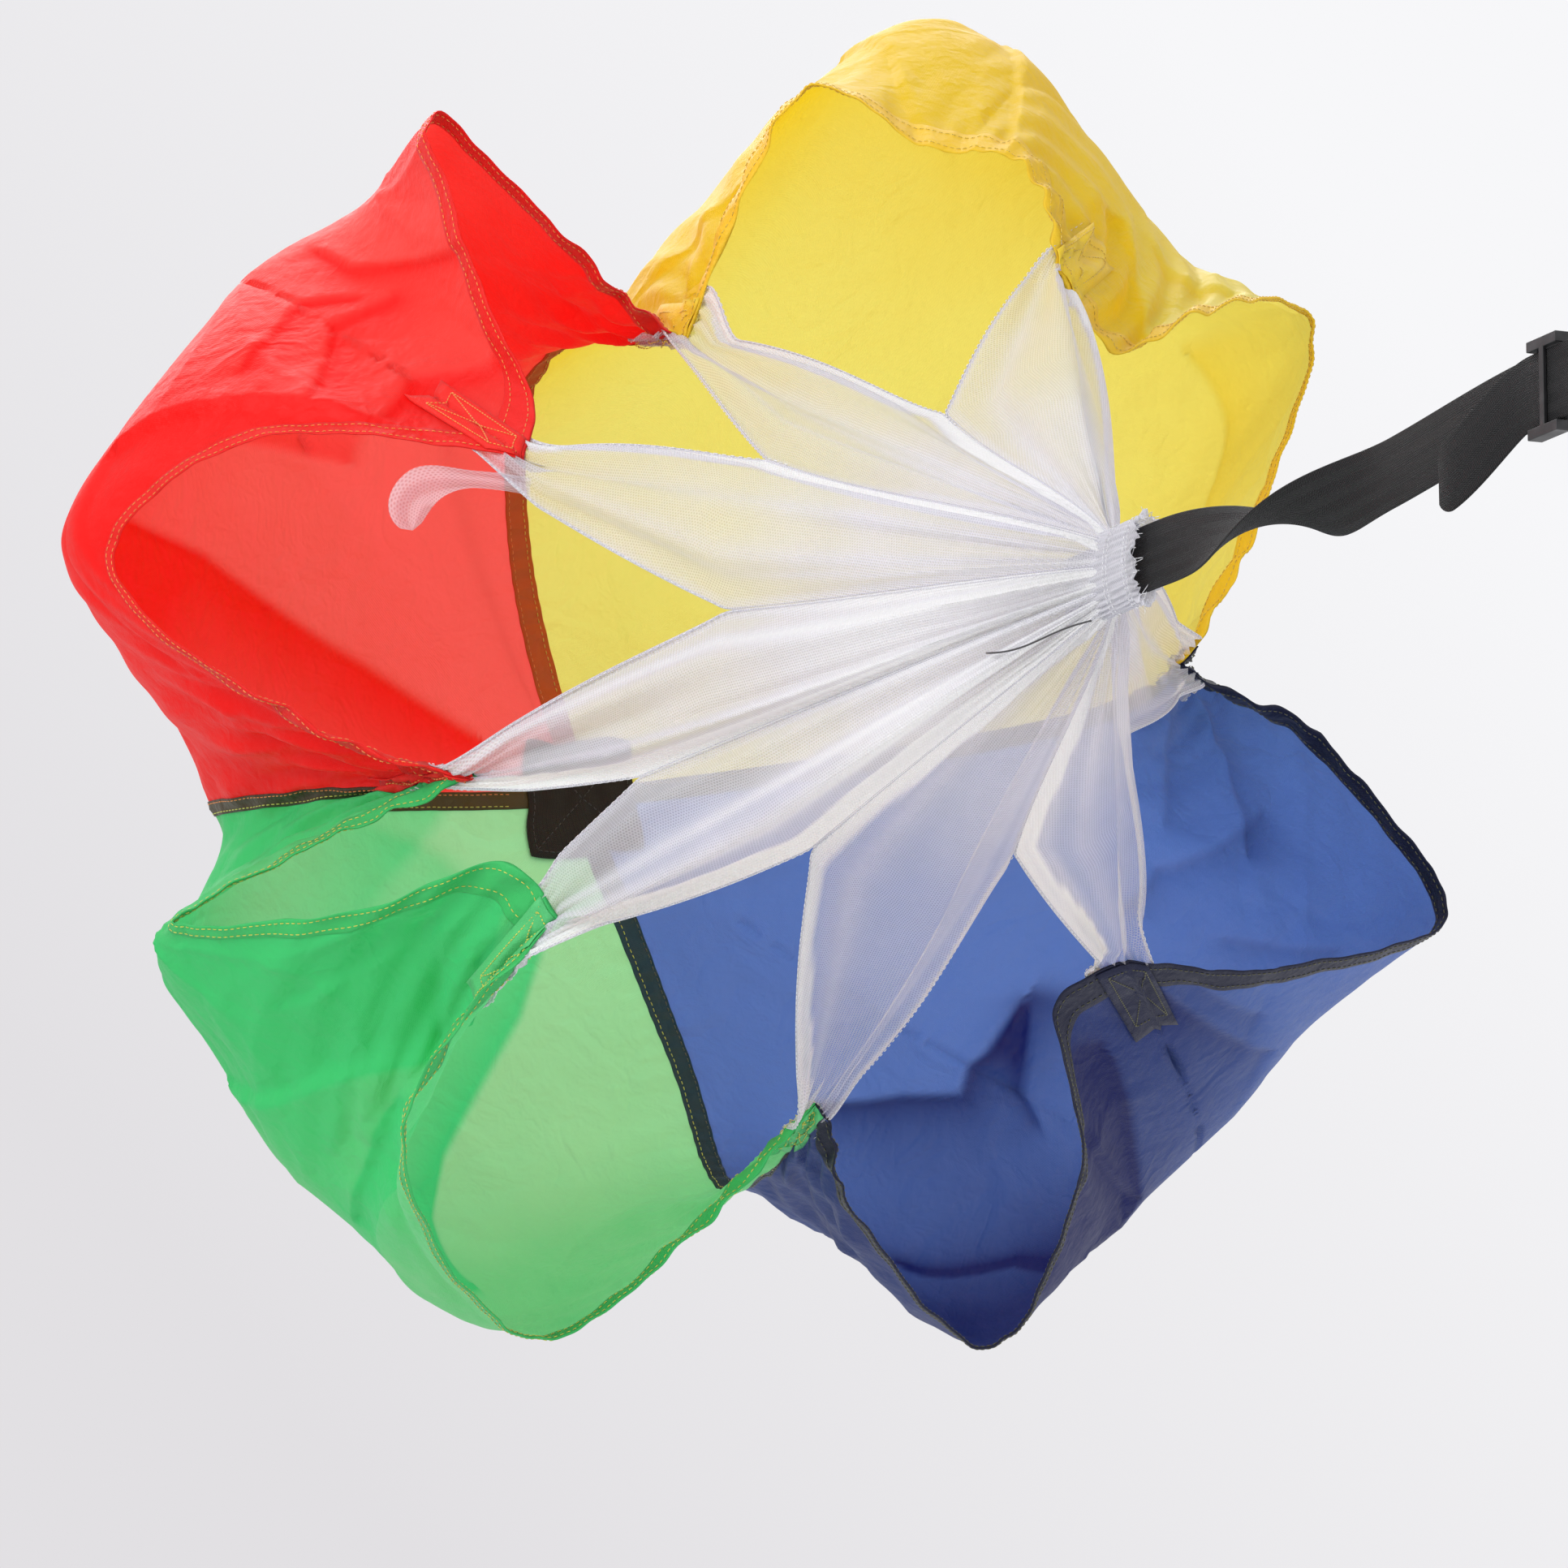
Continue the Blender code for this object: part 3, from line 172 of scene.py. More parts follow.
def add_mesh(name, points, faces, looks, body, uvs=None, slots=None, tone=None):
    """One mesh that rides on a body; uvs and tone are given for each point."""
    mesh = bpy.data.meshes.new(name)
    mesh.from_pydata([tuple(p) for p in np.asarray(points).reshape(-1, 3)], [], faces)
    for look in looks if isinstance(looks, (list, tuple)) else [looks]:
        mesh.materials.append(look)
    if slots is not None:
        mesh.polygons.foreach_set("material_index", np.asarray(slots, dtype=np.int32))
    corners = np.zeros(len(mesh.loops), dtype=np.int32)
    mesh.loops.foreach_get("vertex_index", corners)
    if uvs is not None:
        layer = mesh.uv_layers.new(name="UVMap")
        flat = np.asarray(uvs, dtype=np.float32).reshape(-1, 2)[corners]
        layer.data.foreach_set("uv", flat.ravel())
    if tone is not None:
        layer = mesh.attributes.new("tone", "FLOAT", "POINT")
        layer.data.foreach_set("value", np.asarray(tone, dtype=np.float32).ravel())
    mesh.update()
    mesh.shade_smooth()
    thing = placed(name, mesh)
    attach(thing, body)
    return thing


def grid_faces(rows, columns, closed=False, first=0):
    """Quads of a grid of points, a row at a time; closed joins the last column to the first."""
    faces = []
    for i in range(rows - 1):
        for j in range(columns if closed else columns - 1):
            k = (j + 1) % columns
            a, b = first + i * columns, first + (i + 1) * columns
            faces.append((a + j, a + k, b + k, b + j))
    return faces


def tube_faces(rows, columns, ring=False):
    """Faces of a band that is closed round its section, with its ends capped or joined."""
    faces = grid_faces(rows, columns, closed=True)
    last = (rows - 1) * columns
    if ring:
        after = [(j + 1) % columns for j in range(columns)]
        return faces + [(last + j, last + k, k, j) for j, k in enumerate(after)]
    return faces + [tuple(range(columns))[::-1], tuple(last + j for j in range(columns))]


def shell_mesh(name, points, normals, low, high, look, uvs):
    """A closed thin shell on the canopy, between two distances along the normals of a grid."""
    rows, columns = points.shape[:2]
    count = rows * columns
    both = np.concatenate([
        (points + normals * high).reshape(-1, 3), (points + normals * low).reshape(-1, 3)
    ])
    top = grid_faces(rows, columns)
    faces = top + [tuple(reversed([count + i for i in face])) for face in top]
    rim = [(0, j) for j in range(columns)] + [(i, columns - 1) for i in range(1, rows)]
    rim += [(rows - 1, j) for j in range(columns - 2, -1, -1)]
    rim += [(i, 0) for i in range(rows - 2, 0, -1)]
    rim = [i * columns + j for i, j in rim]
    for a, b in zip(rim, rim[1:] + rim[:1]):
        faces.append((b, a, count + a, count + b))
    uvs = np.asarray(uvs).reshape(-1, 2)
    return add_mesh(name, both, faces, look, "chute", np.concatenate([uvs, uvs]))


def through(places, points, place):
    """A smooth open curve through points at uneven places, read at one place."""
    last = len(places) - 1
    index = max(i for i in range(last) if places[i] <= place or i == 0)

    def slope(i):
        if i == 0:
            return (points[1] - points[0]) / (places[1] - places[0])
        if i == last:
            return (points[-1] - points[-2]) / (places[-1] - places[-2])
        before = places[i] - places[i - 1]
        after = places[i + 1] - places[i]
        rise = (points[i] - points[i - 1]) / before * after
        return (rise + (points[i + 1] - points[i]) / after * before) / (before + after)

    span = places[index + 1] - places[index]
    share = (place - places[index]) / span
    return hermite(points[index], slope(index), points[index + 1], slope(index + 1), share, span)


def hermite(start, start_slope, end, end_slope, share, span):
    """The cubic curve between two points with given slopes."""
    square = share * share
    cube = square * share
    return (
        (2 * cube - 3 * square + 1) * start
        + (cube - 2 * square + share) * span * start_slope
        + (3 * square - 2 * cube) * end
        + (cube - square) * span * end_slope
    )


def polar(distance, degrees, ahead):
    """A point at a distance from the tow axis and some way ahead of the crown."""
    turn = math.radians(degrees)
    return np.array([ahead, distance * math.cos(turn), distance * math.sin(turn)])


# ---------------------------------------------------------------------------------------
# The canopy's surface, the same as the part's, read for whole arrays of points at once.

def edge_point(place):
    """A point on the canopy's edge; place counts tabs from the yellow-red seam."""
    place = place % LOBES
    rows = EDGE_SHARES[int(place)]
    points = [polar(row[1], row[2], row[3]) * CANOPY_SIDE for row in rows]
    return through([row[0] for row in rows], points, place)


def belly_point(place):
    """A point on the belly of the canopy, which is smooth all the way round."""
    step = (place % LOBES) * 2
    index = int(step)
    share = step - index
    around = [polar(*BELLY_SHARES[(index + i) % len(BELLY_SHARES)]) for i in (-1, 0, 1, 2)]
    slopes = ((around[2] - around[0]) / 2, (around[3] - around[1]) / 2)
    return hermite(around[1], slopes[0], around[2], slopes[1], share, 1) * CANOPY_SIDE


def crown_point(place):
    """A point on the nearly flat ring round the crown."""
    belly = belly_point(place)
    place = place % LOBES
    turn = np.interp(place, range(LOBES + 1), CROWN_TURNS)
    degrees = math.degrees(math.atan2(belly[2], belly[1])) + turn
    reach = HALF_SIDE * math.hypot(1, (place + 1) % 2 - 1)
    return polar(CROWN_SHARE * CROWN_REACH_SHARE * reach, degrees, CROWN_RISE_SHARE * reach)


TABLE_STEPS = 240
CONTROLS = np.array([
    (crown_point(p), belly_point(p), edge_point(p))
    for p in np.linspace(0, LOBES, LOBES * TABLE_STEPS + 1)
])


def cloth(ring, place):
    """Points of the middle of the cloth: ring is 0 at the crown and 1 at the edge."""
    ring, place = paired(ring, place)
    step = np.mod(place, LOBES) * TABLE_STEPS
    low = np.minimum(step.astype(int), len(CONTROLS) - 2)
    share = (step - low)[..., None, None]
    read = CONTROLS[low] * (1 - share) + CONTROLS[low + 1] * share
    crown, belly, edge = read[..., 0, :], read[..., 1, :], read[..., 2, :]
    slope_1 = belly / BELLY_SHARE
    slope_2 = (edge - crown) / (1 - CROWN_SHARE)
    slope_0 = 2 * crown / CROWN_SHARE - slope_1
    slope_0[..., 0] = 0.0
    slope_3 = 1.5 * (edge - belly) / (1 - BELLY_SHARE) - 0.5 * slope_2
    r = ring[..., None]
    centre = np.zeros_like(crown)
    inner = hermite(centre, slope_0, crown, slope_1, r / CROWN_SHARE, CROWN_SHARE)
    span = BELLY_SHARE - CROWN_SHARE
    middle = hermite(crown, slope_1, belly, slope_2, (r - CROWN_SHARE) / span, span)
    span = 1 - BELLY_SHARE
    outer = hermite(belly, slope_2, edge, slope_3, (r - BELLY_SHARE) / span, span)
    points = np.where(r <= CROWN_SHARE, inner, np.where(r <= BELLY_SHARE, middle, outer))
    return points + CROWN


def cloth_normals(ring, place):
    """The way from the cloth into the canopy's hollow."""
    step, innermost = 0.003, 0.002
    ring = np.asarray(ring, float)
    inner, outer = np.maximum(ring - step, innermost), np.minimum(ring + step, 1.0)
    outward = cloth(outer, place) - cloth(inner, place)
    off_centre = np.maximum(ring, step)
    around = cloth(off_centre, place + step) - cloth(off_centre, place - step)
    normals = unit(np.cross(outward, around))
    normals[np.broadcast_to(ring < step, normals.shape[:-1])] = (1.0, 0.0, 0.0)
    return normals


def flat_at(across, up):
    """Ring and place of points of the flat square, given in metres from its centre."""
    across, up = paired(across, up)
    reach = np.maximum(np.maximum(abs(across), abs(up)), 1e-9)
    place = np.select(
        [up >= reach, -across >= reach, -up >= reach],
        [-across / reach, 2 - up / reach, 4 + across / reach],
        6 + up / reach,
    )
    return reach / HALF_SIDE, np.mod(place, LOBES)


def flat_of(ring, place):
    """Where a ring and place are on the flat square, in metres from its centre."""
    ring, place = paired(ring, place)
    side = np.mod(np.round(place / 2), 4).astype(int)
    off = np.mod(place + 1, 2) - 1
    reach = ring * HALF_SIDE
    sides = [side == 0, side == 1, side == 2]
    across = np.select(sides, [-off * reach, -reach, off * reach], reach)
    return across, np.select(sides, [reach, -off * reach, -reach], off * reach)


# Wrinkles of the nylon, in metres: long billows, folds that fan out from the tabs, ruffles
# of the hem, the pull of the seams and the creases left by packing.
BILLOW_HEIGHT = 0.0011
BILLOW_WAVES = [
    (RANDOM.uniform(0, 2 * math.pi), RANDOM.uniform(0.09, 0.26), RANDOM.uniform(0, 2 * math.pi))
    for _ in range(7)
]
FAN_HEIGHT = 0.0030
FAN_REACH = 0.055
FAN_FOLDS = 13
RUFFLE_HEIGHT = 0.0009
RUFFLE_REACH = 0.035
RUFFLES_ROUND = (77, 188)
PULL_HEIGHT = 0.0007
PULL_LENGTH = 0.019
PULL_REACH = 0.012
PACKED_CREASE_HEIGHT = 0.0007
PACKED_CREASE_WIDTH = 0.004
PACKED_CREASE_LINES = (-0.27, 0.26)
# The edge is held still this near a tab, and this near itself under the large folds.
TAB_HOLD = 0.03
EDGE_HOLD = 0.012
CREASE_COUNT = 170
CREASES = np.stack([
    RANDOM.uniform(-HALF_SIDE, HALF_SIDE, CREASE_COUNT),
    RANDOM.uniform(-HALF_SIDE, HALF_SIDE, CREASE_COUNT),
    RANDOM.uniform(0, math.pi, CREASE_COUNT),
    RANDOM.uniform(0.03, 0.13, CREASE_COUNT),
    RANDOM.uniform(0.0015, 0.0052, CREASE_COUNT) * RANDOM.choice((-1, 1), CREASE_COUNT),
    RANDOM.uniform(0.006, 0.020, CREASE_COUNT),
], axis=-1)


def crumple(across, up):
    """Sharp-crested creases of many lengths, scattered over the cloth."""
    height = np.zeros_like(across)
    for x, y, turn, length, crest, width in CREASES:
        along = (across - x) * math.cos(turn) + (up - y) * math.sin(turn)
        away = (up - y) * math.cos(turn) - (across - x) * math.sin(turn) + 0.4 * along ** 2 / length
        height += crest * np.exp(-abs(away) / width - (along / length) ** 2)
    return height


# How fast a large fold fades past its ends, how wide its lip is and how much of the drop that
# lip stands up, and the width of the step from one side to the other.
FOLD_END_FADE = 0.012
FOLD_LIP_WIDTH = 0.007
FOLD_LIP_SHARE = 0.4
FOLD_STEP = 0.008
# The large folds that the wind holds in the cloth: how far one side drops behind the other,
# how much painted shade deepens its colour there, how far that reaches, and the fold's line on the
# flat square.
# The side that drops is on the left, going along the line.
FOLDS = (
    (.006, .95, .035, ((.243, -.183), (.228, -.215), (.208, -.232), (.175, -.223), (.120, -.218))),
    (.003, .60, .008, ((.140, -.330), (.222, -.342), (.282, -.393))),
    (.004, .60, .008, ((.248, -.260), (.243, -.185))),
    (.006, .50, .020, ((.395, -.500), (.332, -.390))),
    (.005, .50, .020, ((.430, -.465), (.317, -.380))),
    (.005, .35, .030, ((.490, -.480), (.460, -.415), (.430, -.350))),
    (.004, .30, .020, ((.500, -.465), (.465, -.380))),
    (.004, .35, .015, ((.420, -.110), (.330, -.100), (.300, -.120))),
    (.003, .30, .012, ((.400, -.200), (.340, -.160))),
    (.004, .35, .018, ((.475, -.030), (.395, -.115))),
    (.003, .30, .015, ((.450, -.015), (.365, -.075))),
    (.004, 1.0, .100, (
        (-.168, -.360), (-.172, -.290), (-.150, -.242), (-.070, -.140), (-.042, -.088))),
    (.007, .70, .060, ((-.450, -.460), (-.407, -.362), (-.345, -.260))),
    (.005, .60, .030, ((-.320, -.375), (-.352, -.390), (-.410, -.417))),
    (.004, .40, .030, ((-.490, -.460), (-.457, -.367), (-.440, -.330))),
    (.004, .40, .020, ((-.350, -.440), (-.300, -.400), (-.240, -.400))),
    (.005, .70, .050, ((.150, .380), (.208, .463), (.252, .500))),
    (.005, .45, .045, ((.250, .380), (.300, .440), (.343, .490))),
    (.006, 1.0, .030, ((.435, .440), (.500, .410))),
    (.005, .35, .015, ((.430, .400), (.455, .345))),
    (.004, .40, .030, ((.335, .230), (.355, .160), (.378, .100))),
    (.004, .40, .015, ((.030, .430), (.070, .470))),
    (.007, .90, .050, ((-.410, .270), (-.457, .343), (-.478, .402), (-.492, .450))),
    (.004, .55, .010, ((-.430, .365), (-.385, .415))),
    (.004, .55, .012, ((-.465, .400), (-.380, .433))),
    (.005, .60, .020, ((-.330, .390), (-.352, .412), (-.350, .500))),
    (.005, .55, .015, ((-.475, .440), (-.400, .500))),
    (.004, 1.0, .130, ((-.070, .048), (-.147, .100), (-.258, .167), (-.330, .195))),
    (.004, .70, .040, ((-.330, .223), (-.268, .225), (-.190, .208))),
)


def folded(across, up):
    """Height and painted shade that the large folds add at places on the flat square."""
    height, tone = np.zeros_like(across), np.zeros_like(across)
    for drop, shade, reach, line in FOLDS:
        near = np.full_like(across, CANOPY_SIDE)
        side, beyond = np.zeros_like(across), np.zeros_like(across)
        last = len(line) - 2
        for number, ((x, y), (to_x, to_y)) in enumerate(zip(line, line[1:])):
            run_x, run_y = to_x - x, to_y - y
            length = math.hypot(run_x, run_y)
            share = ((across - x) * run_x + (up - y) * run_y) / length ** 2
            held = np.clip(share, 0.0, 1.0)
            gap = np.hypot(across - x - held * run_x, up - y - held * run_y)
            closer = gap < near
            turn = (up - y) * run_x - (across - x) * run_y
            past = np.where(share < 0, -share if number == 0 else 0.0, 0.0)
            past = np.where(share > 1, share - 1 if number == last else 0.0, past) * length
            near = np.where(closer, gap, near)
            side = np.where(closer, np.sign(turn), side)
            beyond = np.where(closer, past, beyond)
        fade = np.exp(-(beyond / FOLD_END_FADE) ** 2)
        left = ease((side * near + FOLD_STEP / 2) / FOLD_STEP)
        left = left * fade * np.exp(-near / reach)
        lip = FOLD_LIP_SHARE * drop * fade * np.exp(-near / FOLD_LIP_WIDTH)
        height += lip - drop * left
        # painted shade on the side of the fold that drops
        tone += shade * left
    return height, tone


def wrinkle(ring, place):
    """Height of the wrinkles over the smooth surface."""
    ring, place = paired(ring, place)
    across, up = flat_of(ring, place)
    inwards = (1 - ring) * HALF_SIDE
    height = np.zeros_like(ring)
    for turn, length, phase in BILLOW_WAVES:
        along = across * math.cos(turn) + up * math.sin(turn)
        height += BILLOW_HEIGHT * np.sin(2 * math.pi * along / length + phase) * ring
    from_tab = np.full_like(ring, CANOPY_SIDE)
    for tab in range(LOBES):
        x, y = flat_of(1.0, float(tab))
        away = np.hypot(across - x, up - y)
        from_tab = np.minimum(from_tab, away)
        turn = np.arctan2(up - y, across - x)
        swell = away / FAN_REACH * np.exp(1 - away / FAN_REACH)
        folds = np.sin(FAN_FOLDS * turn + 1.7 * tab) + 0.5 * np.sin(
            (FAN_FOLDS + 8) * turn + 0.9 * tab + 9 * away / FAN_REACH
        )
        height += FAN_HEIGHT * swell * folds * (0.5 + 0.5 * (away < 0.35))
    held = 1 - np.exp(-(from_tab / TAB_HOLD) ** 2)
    round_edge = 2 * math.pi * place / LOBES
    large, small = RUFFLES_ROUND
    ruffle = np.sin(large * round_edge + 2 * np.sin(5 * round_edge))
    ruffle += 0.4 * np.sin(small * round_edge + 3 * np.sin(7 * round_edge))
    height += RUFFLE_HEIGHT * held * ruffle * np.exp(-inwards / RUFFLE_REACH)
    seam_away = np.minimum(abs(across), abs(up))
    along = np.maximum(abs(across), abs(up))
    pull = np.sin(2 * math.pi * along / PULL_LENGTH + 2 * np.sin(along / 0.023))
    height += PULL_HEIGHT * pull * np.exp(-seam_away / PULL_REACH)
    for line in PACKED_CREASE_LINES:
        for offset in (across - line, up - line):
            height += PACKED_CREASE_HEIGHT * np.exp(-abs(offset) / PACKED_CREASE_WIDTH)
    height -= folded(across, up)[0] * held * (1 - np.exp(-inwards / EDGE_HOLD))
    outer = 0.25 + 0.75 * ease((ring - 0.3) / 0.4)
    return height + crumple(across, up) * outer * ring


def lifted(ring, place, lift=0.0):
    """Points on the wrinkled cloth, or at a distance from it into the hollow, and normals."""
    ring, place = paired(ring, place)
    normals = cloth_normals(ring, place)
    height = np.asarray(wrinkle(ring, place) + lift)
    return cloth(ring, place) + normals * height[..., None], normals


# ---------------------------------------------------------------------------------------
# Materials.

def tree_of(name):
    """A new material with an empty node tree."""
    made = bpy.data.materials.new(name)
    made.use_nodes = True
    made.node_tree.nodes.clear()
    return made, made.node_tree


def node(tree, kind, inputs=None, **settings):
    """A shader node with settings and inputs; an input is a value or another node's socket."""
    made = tree.nodes.new("ShaderNode" + kind)
    for key, value in settings.items():
        setattr(made, key, value)
    for key, value in (inputs or {}).items():
        if isinstance(value, bpy.types.NodeSocket):
            tree.links.new(value, made.inputs[key])
        else:
            made.inputs[key].default_value = value
    return made


def maths(tree, operation, first, second=0.0, third=0.0):
    values = {0: first, 1: second, 2: third}
    return node(tree, "Math", values, operation=operation).outputs[0]


def times(tree, first, second):
    return maths(tree, "MULTIPLY", first, second)


def times_plus(tree, first, second, third):
    return maths(tree, "MULTIPLY_ADD", first, second, third)


def grating(tree, measure, pitch, phase=0.0):
    """A sine of a measure in metres."""
    return maths(tree, "SINE", times_plus(tree, measure, 2 * math.pi / pitch, phase))


def blend_colours(tree, factor, first, second, mode="MIX"):
    inputs = {0: factor, 6: first, 7: second}
    return node(tree, "Mix", inputs, data_type="RGBA", blend_type=mode).outputs[2]


def uv_parts(tree):
    """The two UV measures, which are metres on the fabric."""
    split = node(tree, "SeparateXYZ", {0: node(tree, "UVMap").outputs[0]})
    return split.outputs[0], split.outputs[1]


def noise(tree, scale, detail=3.0, vector=None, distortion=0.0):
    where = vector or node(tree, "TexCoord").outputs["Object"]
    inputs = {"Vector": where, "Scale": scale, "Detail": detail, "Distortion": distortion}
    return node(tree, "TexNoise", inputs).outputs[0]


def spread(tree, value, low, high, to_low=0.0, to_high=1.0):
    inputs = {0: value, 1: low, 2: high, 3: to_low, 4: to_high}
    return node(tree, "MapRange", inputs).outputs[0]


def mottled(tree, value, depth, scale, detail):
    """A value that wanders up and down with noise."""
    low = maths(tree, "SUBTRACT", value, depth / 2)
    return times_plus(tree, noise(tree, scale, detail), depth, low)


def clamped(tree, value):
    return node(tree, "Clamp", {0: value}).outputs[0]


def bumped(tree, strength, distance, height):
    """The facing of a surface whose relief is a distance in metres times a height."""
    inputs = {"Strength": strength, "Distance": distance, "Height": height}
    return node(tree, "Bump", inputs).outputs[0]


def principled(tree, colour, rough, bump, more=None):
    inputs = {"Base Color": colour, "Roughness": rough, "Normal": bump, **(more or {})}
    return node(tree, "BsdfPrincipled", inputs).outputs[0]


def lit_through(tree, face, share, colour, bump):
    """A face that also glows with the light from behind it."""
    behind = node(tree, "BsdfTranslucent", {"Color": colour, "Normal": bump}).outputs[0]
    return node(tree, "MixShader", {0: share, 1: face, 2: behind}).outputs[0]


def finish_tree(tree, shader):
    node(tree, "OutputMaterial", {0: shader})


# Pitches of the weaves and knits, in metres.
WEAVE_PITCH = 0.0011
NET_PITCH = 0.0017
WARP_PITCH = 0.0013
AIR_MESH_PITCH = 0.0031
KNIT_PITCH = 0.0007
NET_SHADE = srgb(226, 225, 232)
NET_BRIGHT = srgb(252, 252, 254)
NICKEL_CLEAN = srgb(206, 205, 202)
NICKEL_WORN = srgb(168, 165, 160)


def nylon(name, pale, deep, translucency=0.42):
    """Thin taffeta: paler where light comes through it, crinkled, with a fine plain weave."""
    made, tree = tree_of(name)
    threads = [grating(tree, measure, WEAVE_PITCH) for measure in uv_parts(tree)]
    weave = times(tree, *threads)
    tone = node(tree, "Attribute", attribute_name="tone").outputs["Fac"]
    tone = clamped(tree, mottled(tree, tone, 0.36, 9.0, 4.0))
    shade = spread(tree, weave, -1.0, 1.0, 0.965, 1.02)
    grey = node(tree, "CombineColor", {0: shade, 1: shade, 2: shade}).outputs[0]
    colour = blend_colours(tree, tone, pale, deep)
    colour = blend_colours(tree, 1.0, colour, grey, "MULTIPLY")
    soft = noise(tree, 17.0, 3.0, distortion=0.8)
    fold = maths(tree, "ABSOLUTE", maths(tree, "SUBTRACT", soft, 0.5))
    fine = noise(tree, 210.0, 3.0)
    height = noise(tree, 55.0, 5.0, distortion=0.4)
    for part, weight in ((fine, 0.3), (fold, -3.0), (weave, 0.03)):
        height = times_plus(tree, part, weight, height)
    bump = bumped(tree, 0.75, 0.0028, height)
    rough = spread(tree, fine, 0.25, 0.75, 0.36, 0.52)
    face = principled(tree, colour, rough, bump, {
        "Sheen Weight": 0.12, "Sheen Roughness": 0.4, "Specular IOR Level": 0.28,
    })
    finish_tree(tree, lit_through(tree, face, translucency, colour, bump))
    return made


def net(name, white, solidity):
    """Soft polyester net: six-sided holes, denser and rolled at the tongues' edges."""
    made, tree = tree_of(name)
    across, along = uv_parts(tree)
    holes = []
    for turn in (0.0, math.pi / 3, 2 * math.pi / 3):
        measure = times(tree, across, math.cos(turn))
        measure = times_plus(tree, along, math.sin(turn), measure)
        holes.append(grating(tree, measure, NET_PITCH, math.pi / 2))
    hole = maths(tree, "ADD", maths(tree, "ADD", holes[0], holes[1]), holes[2])
    dense = node(tree, "Attribute", attribute_name="tone").outputs["Fac"]
    cover = spread(tree, hole, -1.2, 2.6, solidity + 0.09, solidity - 0.16)
    cover = maths(tree, "ADD", mottled(tree, cover, 0.16, 14.0, 3.0), dense)
    colour = blend_colours(tree, noise(tree, 24.0, 4.0), white, NET_SHADE)
    colour = blend_colours(tree, spread(tree, dense, 0.50, 0.80), colour, NET_BRIGHT)
    bump = bumped(tree, 0.5, 0.0006, times(tree, hole, -0.5))
    face = principled(tree, colour, 0.72, bump, {"Sheen Weight": 0.3, "Specular IOR Level": 0.3})
    thread_shader = lit_through(tree, face, 0.35, colour, bump)
    clear = node(tree, "BsdfTransparent", {0: (1.0, 1.0, 1.0, 1.0)}).outputs[0]
    inputs = {0: clamped(tree, cover), 1: clear, 2: thread_shader}
    finish_tree(tree, node(tree, "MixShader", inputs).outputs[0])
    return made


def webbing(name, dark, light, rib=0.0016, chevron=0.0095):
    """Flat webbing: a herringbone of ribs along its length, paler on the crests of its ribs and in
    worn patches.
    """
    made, tree = tree_of(name)
    across, along = uv_parts(tree)
    zigzag = maths(tree, "PINGPONG", across, chevron / 2)
    ribs = grating(tree, times_plus(tree, zigzag, 1.3, along), rib)
    height = times_plus(tree, grating(tree, across, WARP_PITCH), 0.35, ribs)
    fuzz = noise(tree, 900.0, 2.0)
    wear = spread(tree, noise(tree, 45.0, 4.0), 0.3, 0.7, 0.7, 1.15)
    mix = spread(tree, times_plus(tree, fuzz, 1.4, height), -0.6, 2.2)
    colour = blend_colours(tree, times(tree, mix, wear), dark, light)
    rough = spread(tree, fuzz, 0.3, 0.7, 0.54, 0.74)
    finish_tree(tree, principled(tree, colour, rough, bumped(tree, 0.8, 0.0005, height), {
        "Sheen Weight": 0.04, "Sheen Roughness": 0.45, "Specular IOR Level": 0.25,
    }))
    return made


def thread(name, colour):
    """Twisted sewing thread."""
    made, tree = tree_of(name)
    twist = noise(tree, 1400.0, 2.0)
    dark = tuple(0.55 * part for part in colour[:3]) + (1.0,)
    shade = blend_colours(tree, spread(tree, twist, 0.35, 0.6), dark, colour)
    bump = bumped(tree, 0.4, 0.0002, twist)
    finish_tree(tree, principled(tree, shade, 0.5, bump, {"Sheen Weight": 0.3}))
    return made


def plastic(name, colour):
    """Moulded acetal with a fine spark-eroded grain, rubbed smooth in patches."""
    made, tree = tree_of(name)
    rubbed = noise(tree, 60.0, 3.0)
    pale = tuple(min(1.0, 2.4 * part + 0.004) for part in colour[:3]) + (1.0,)
    shade = blend_colours(tree, spread(tree, rubbed, 0.5, 0.8), colour, pale)
    rough = spread(tree, rubbed, 0.35, 0.7, 0.5, 0.33)
    bump = bumped(tree, 0.25, 0.0002, noise(tree, 1500.0, 2.0))
    finish_tree(tree, principled(tree, shade, rough, bump, {"Specular IOR Level": 0.45}))
    return made


def steel(name):
    """Nickel-plated wire, drawn along its length, with dull rubbed places."""
    made, tree = tree_of(name)
    across, along = uv_parts(tree)
    wide = times(tree, across, 40.0)
    lines = node(tree, "CombineXYZ", {0: wide, 1: along, 2: 0.0}).outputs[0]
    scratches = noise(tree, 60.0, 5.0, lines)
    worn = noise(tree, 90.0, 3.0)
    drawn = spread(tree, scratches, 0.3, 0.7, 0.14, 0.3)
    rough = maths(tree, "ADD", drawn, spread(tree, worn, 0.5, 0.8, 0.0, 0.12))
    colour = blend_colours(tree, spread(tree, worn, 0.4, 0.8), NICKEL_CLEAN, NICKEL_WORN)
    bump = bumped(tree, 0.15, 0.0001, scratches)
    finish_tree(tree, principled(tree, colour, rough, bump, {"Metallic": 1.0}))
    return made


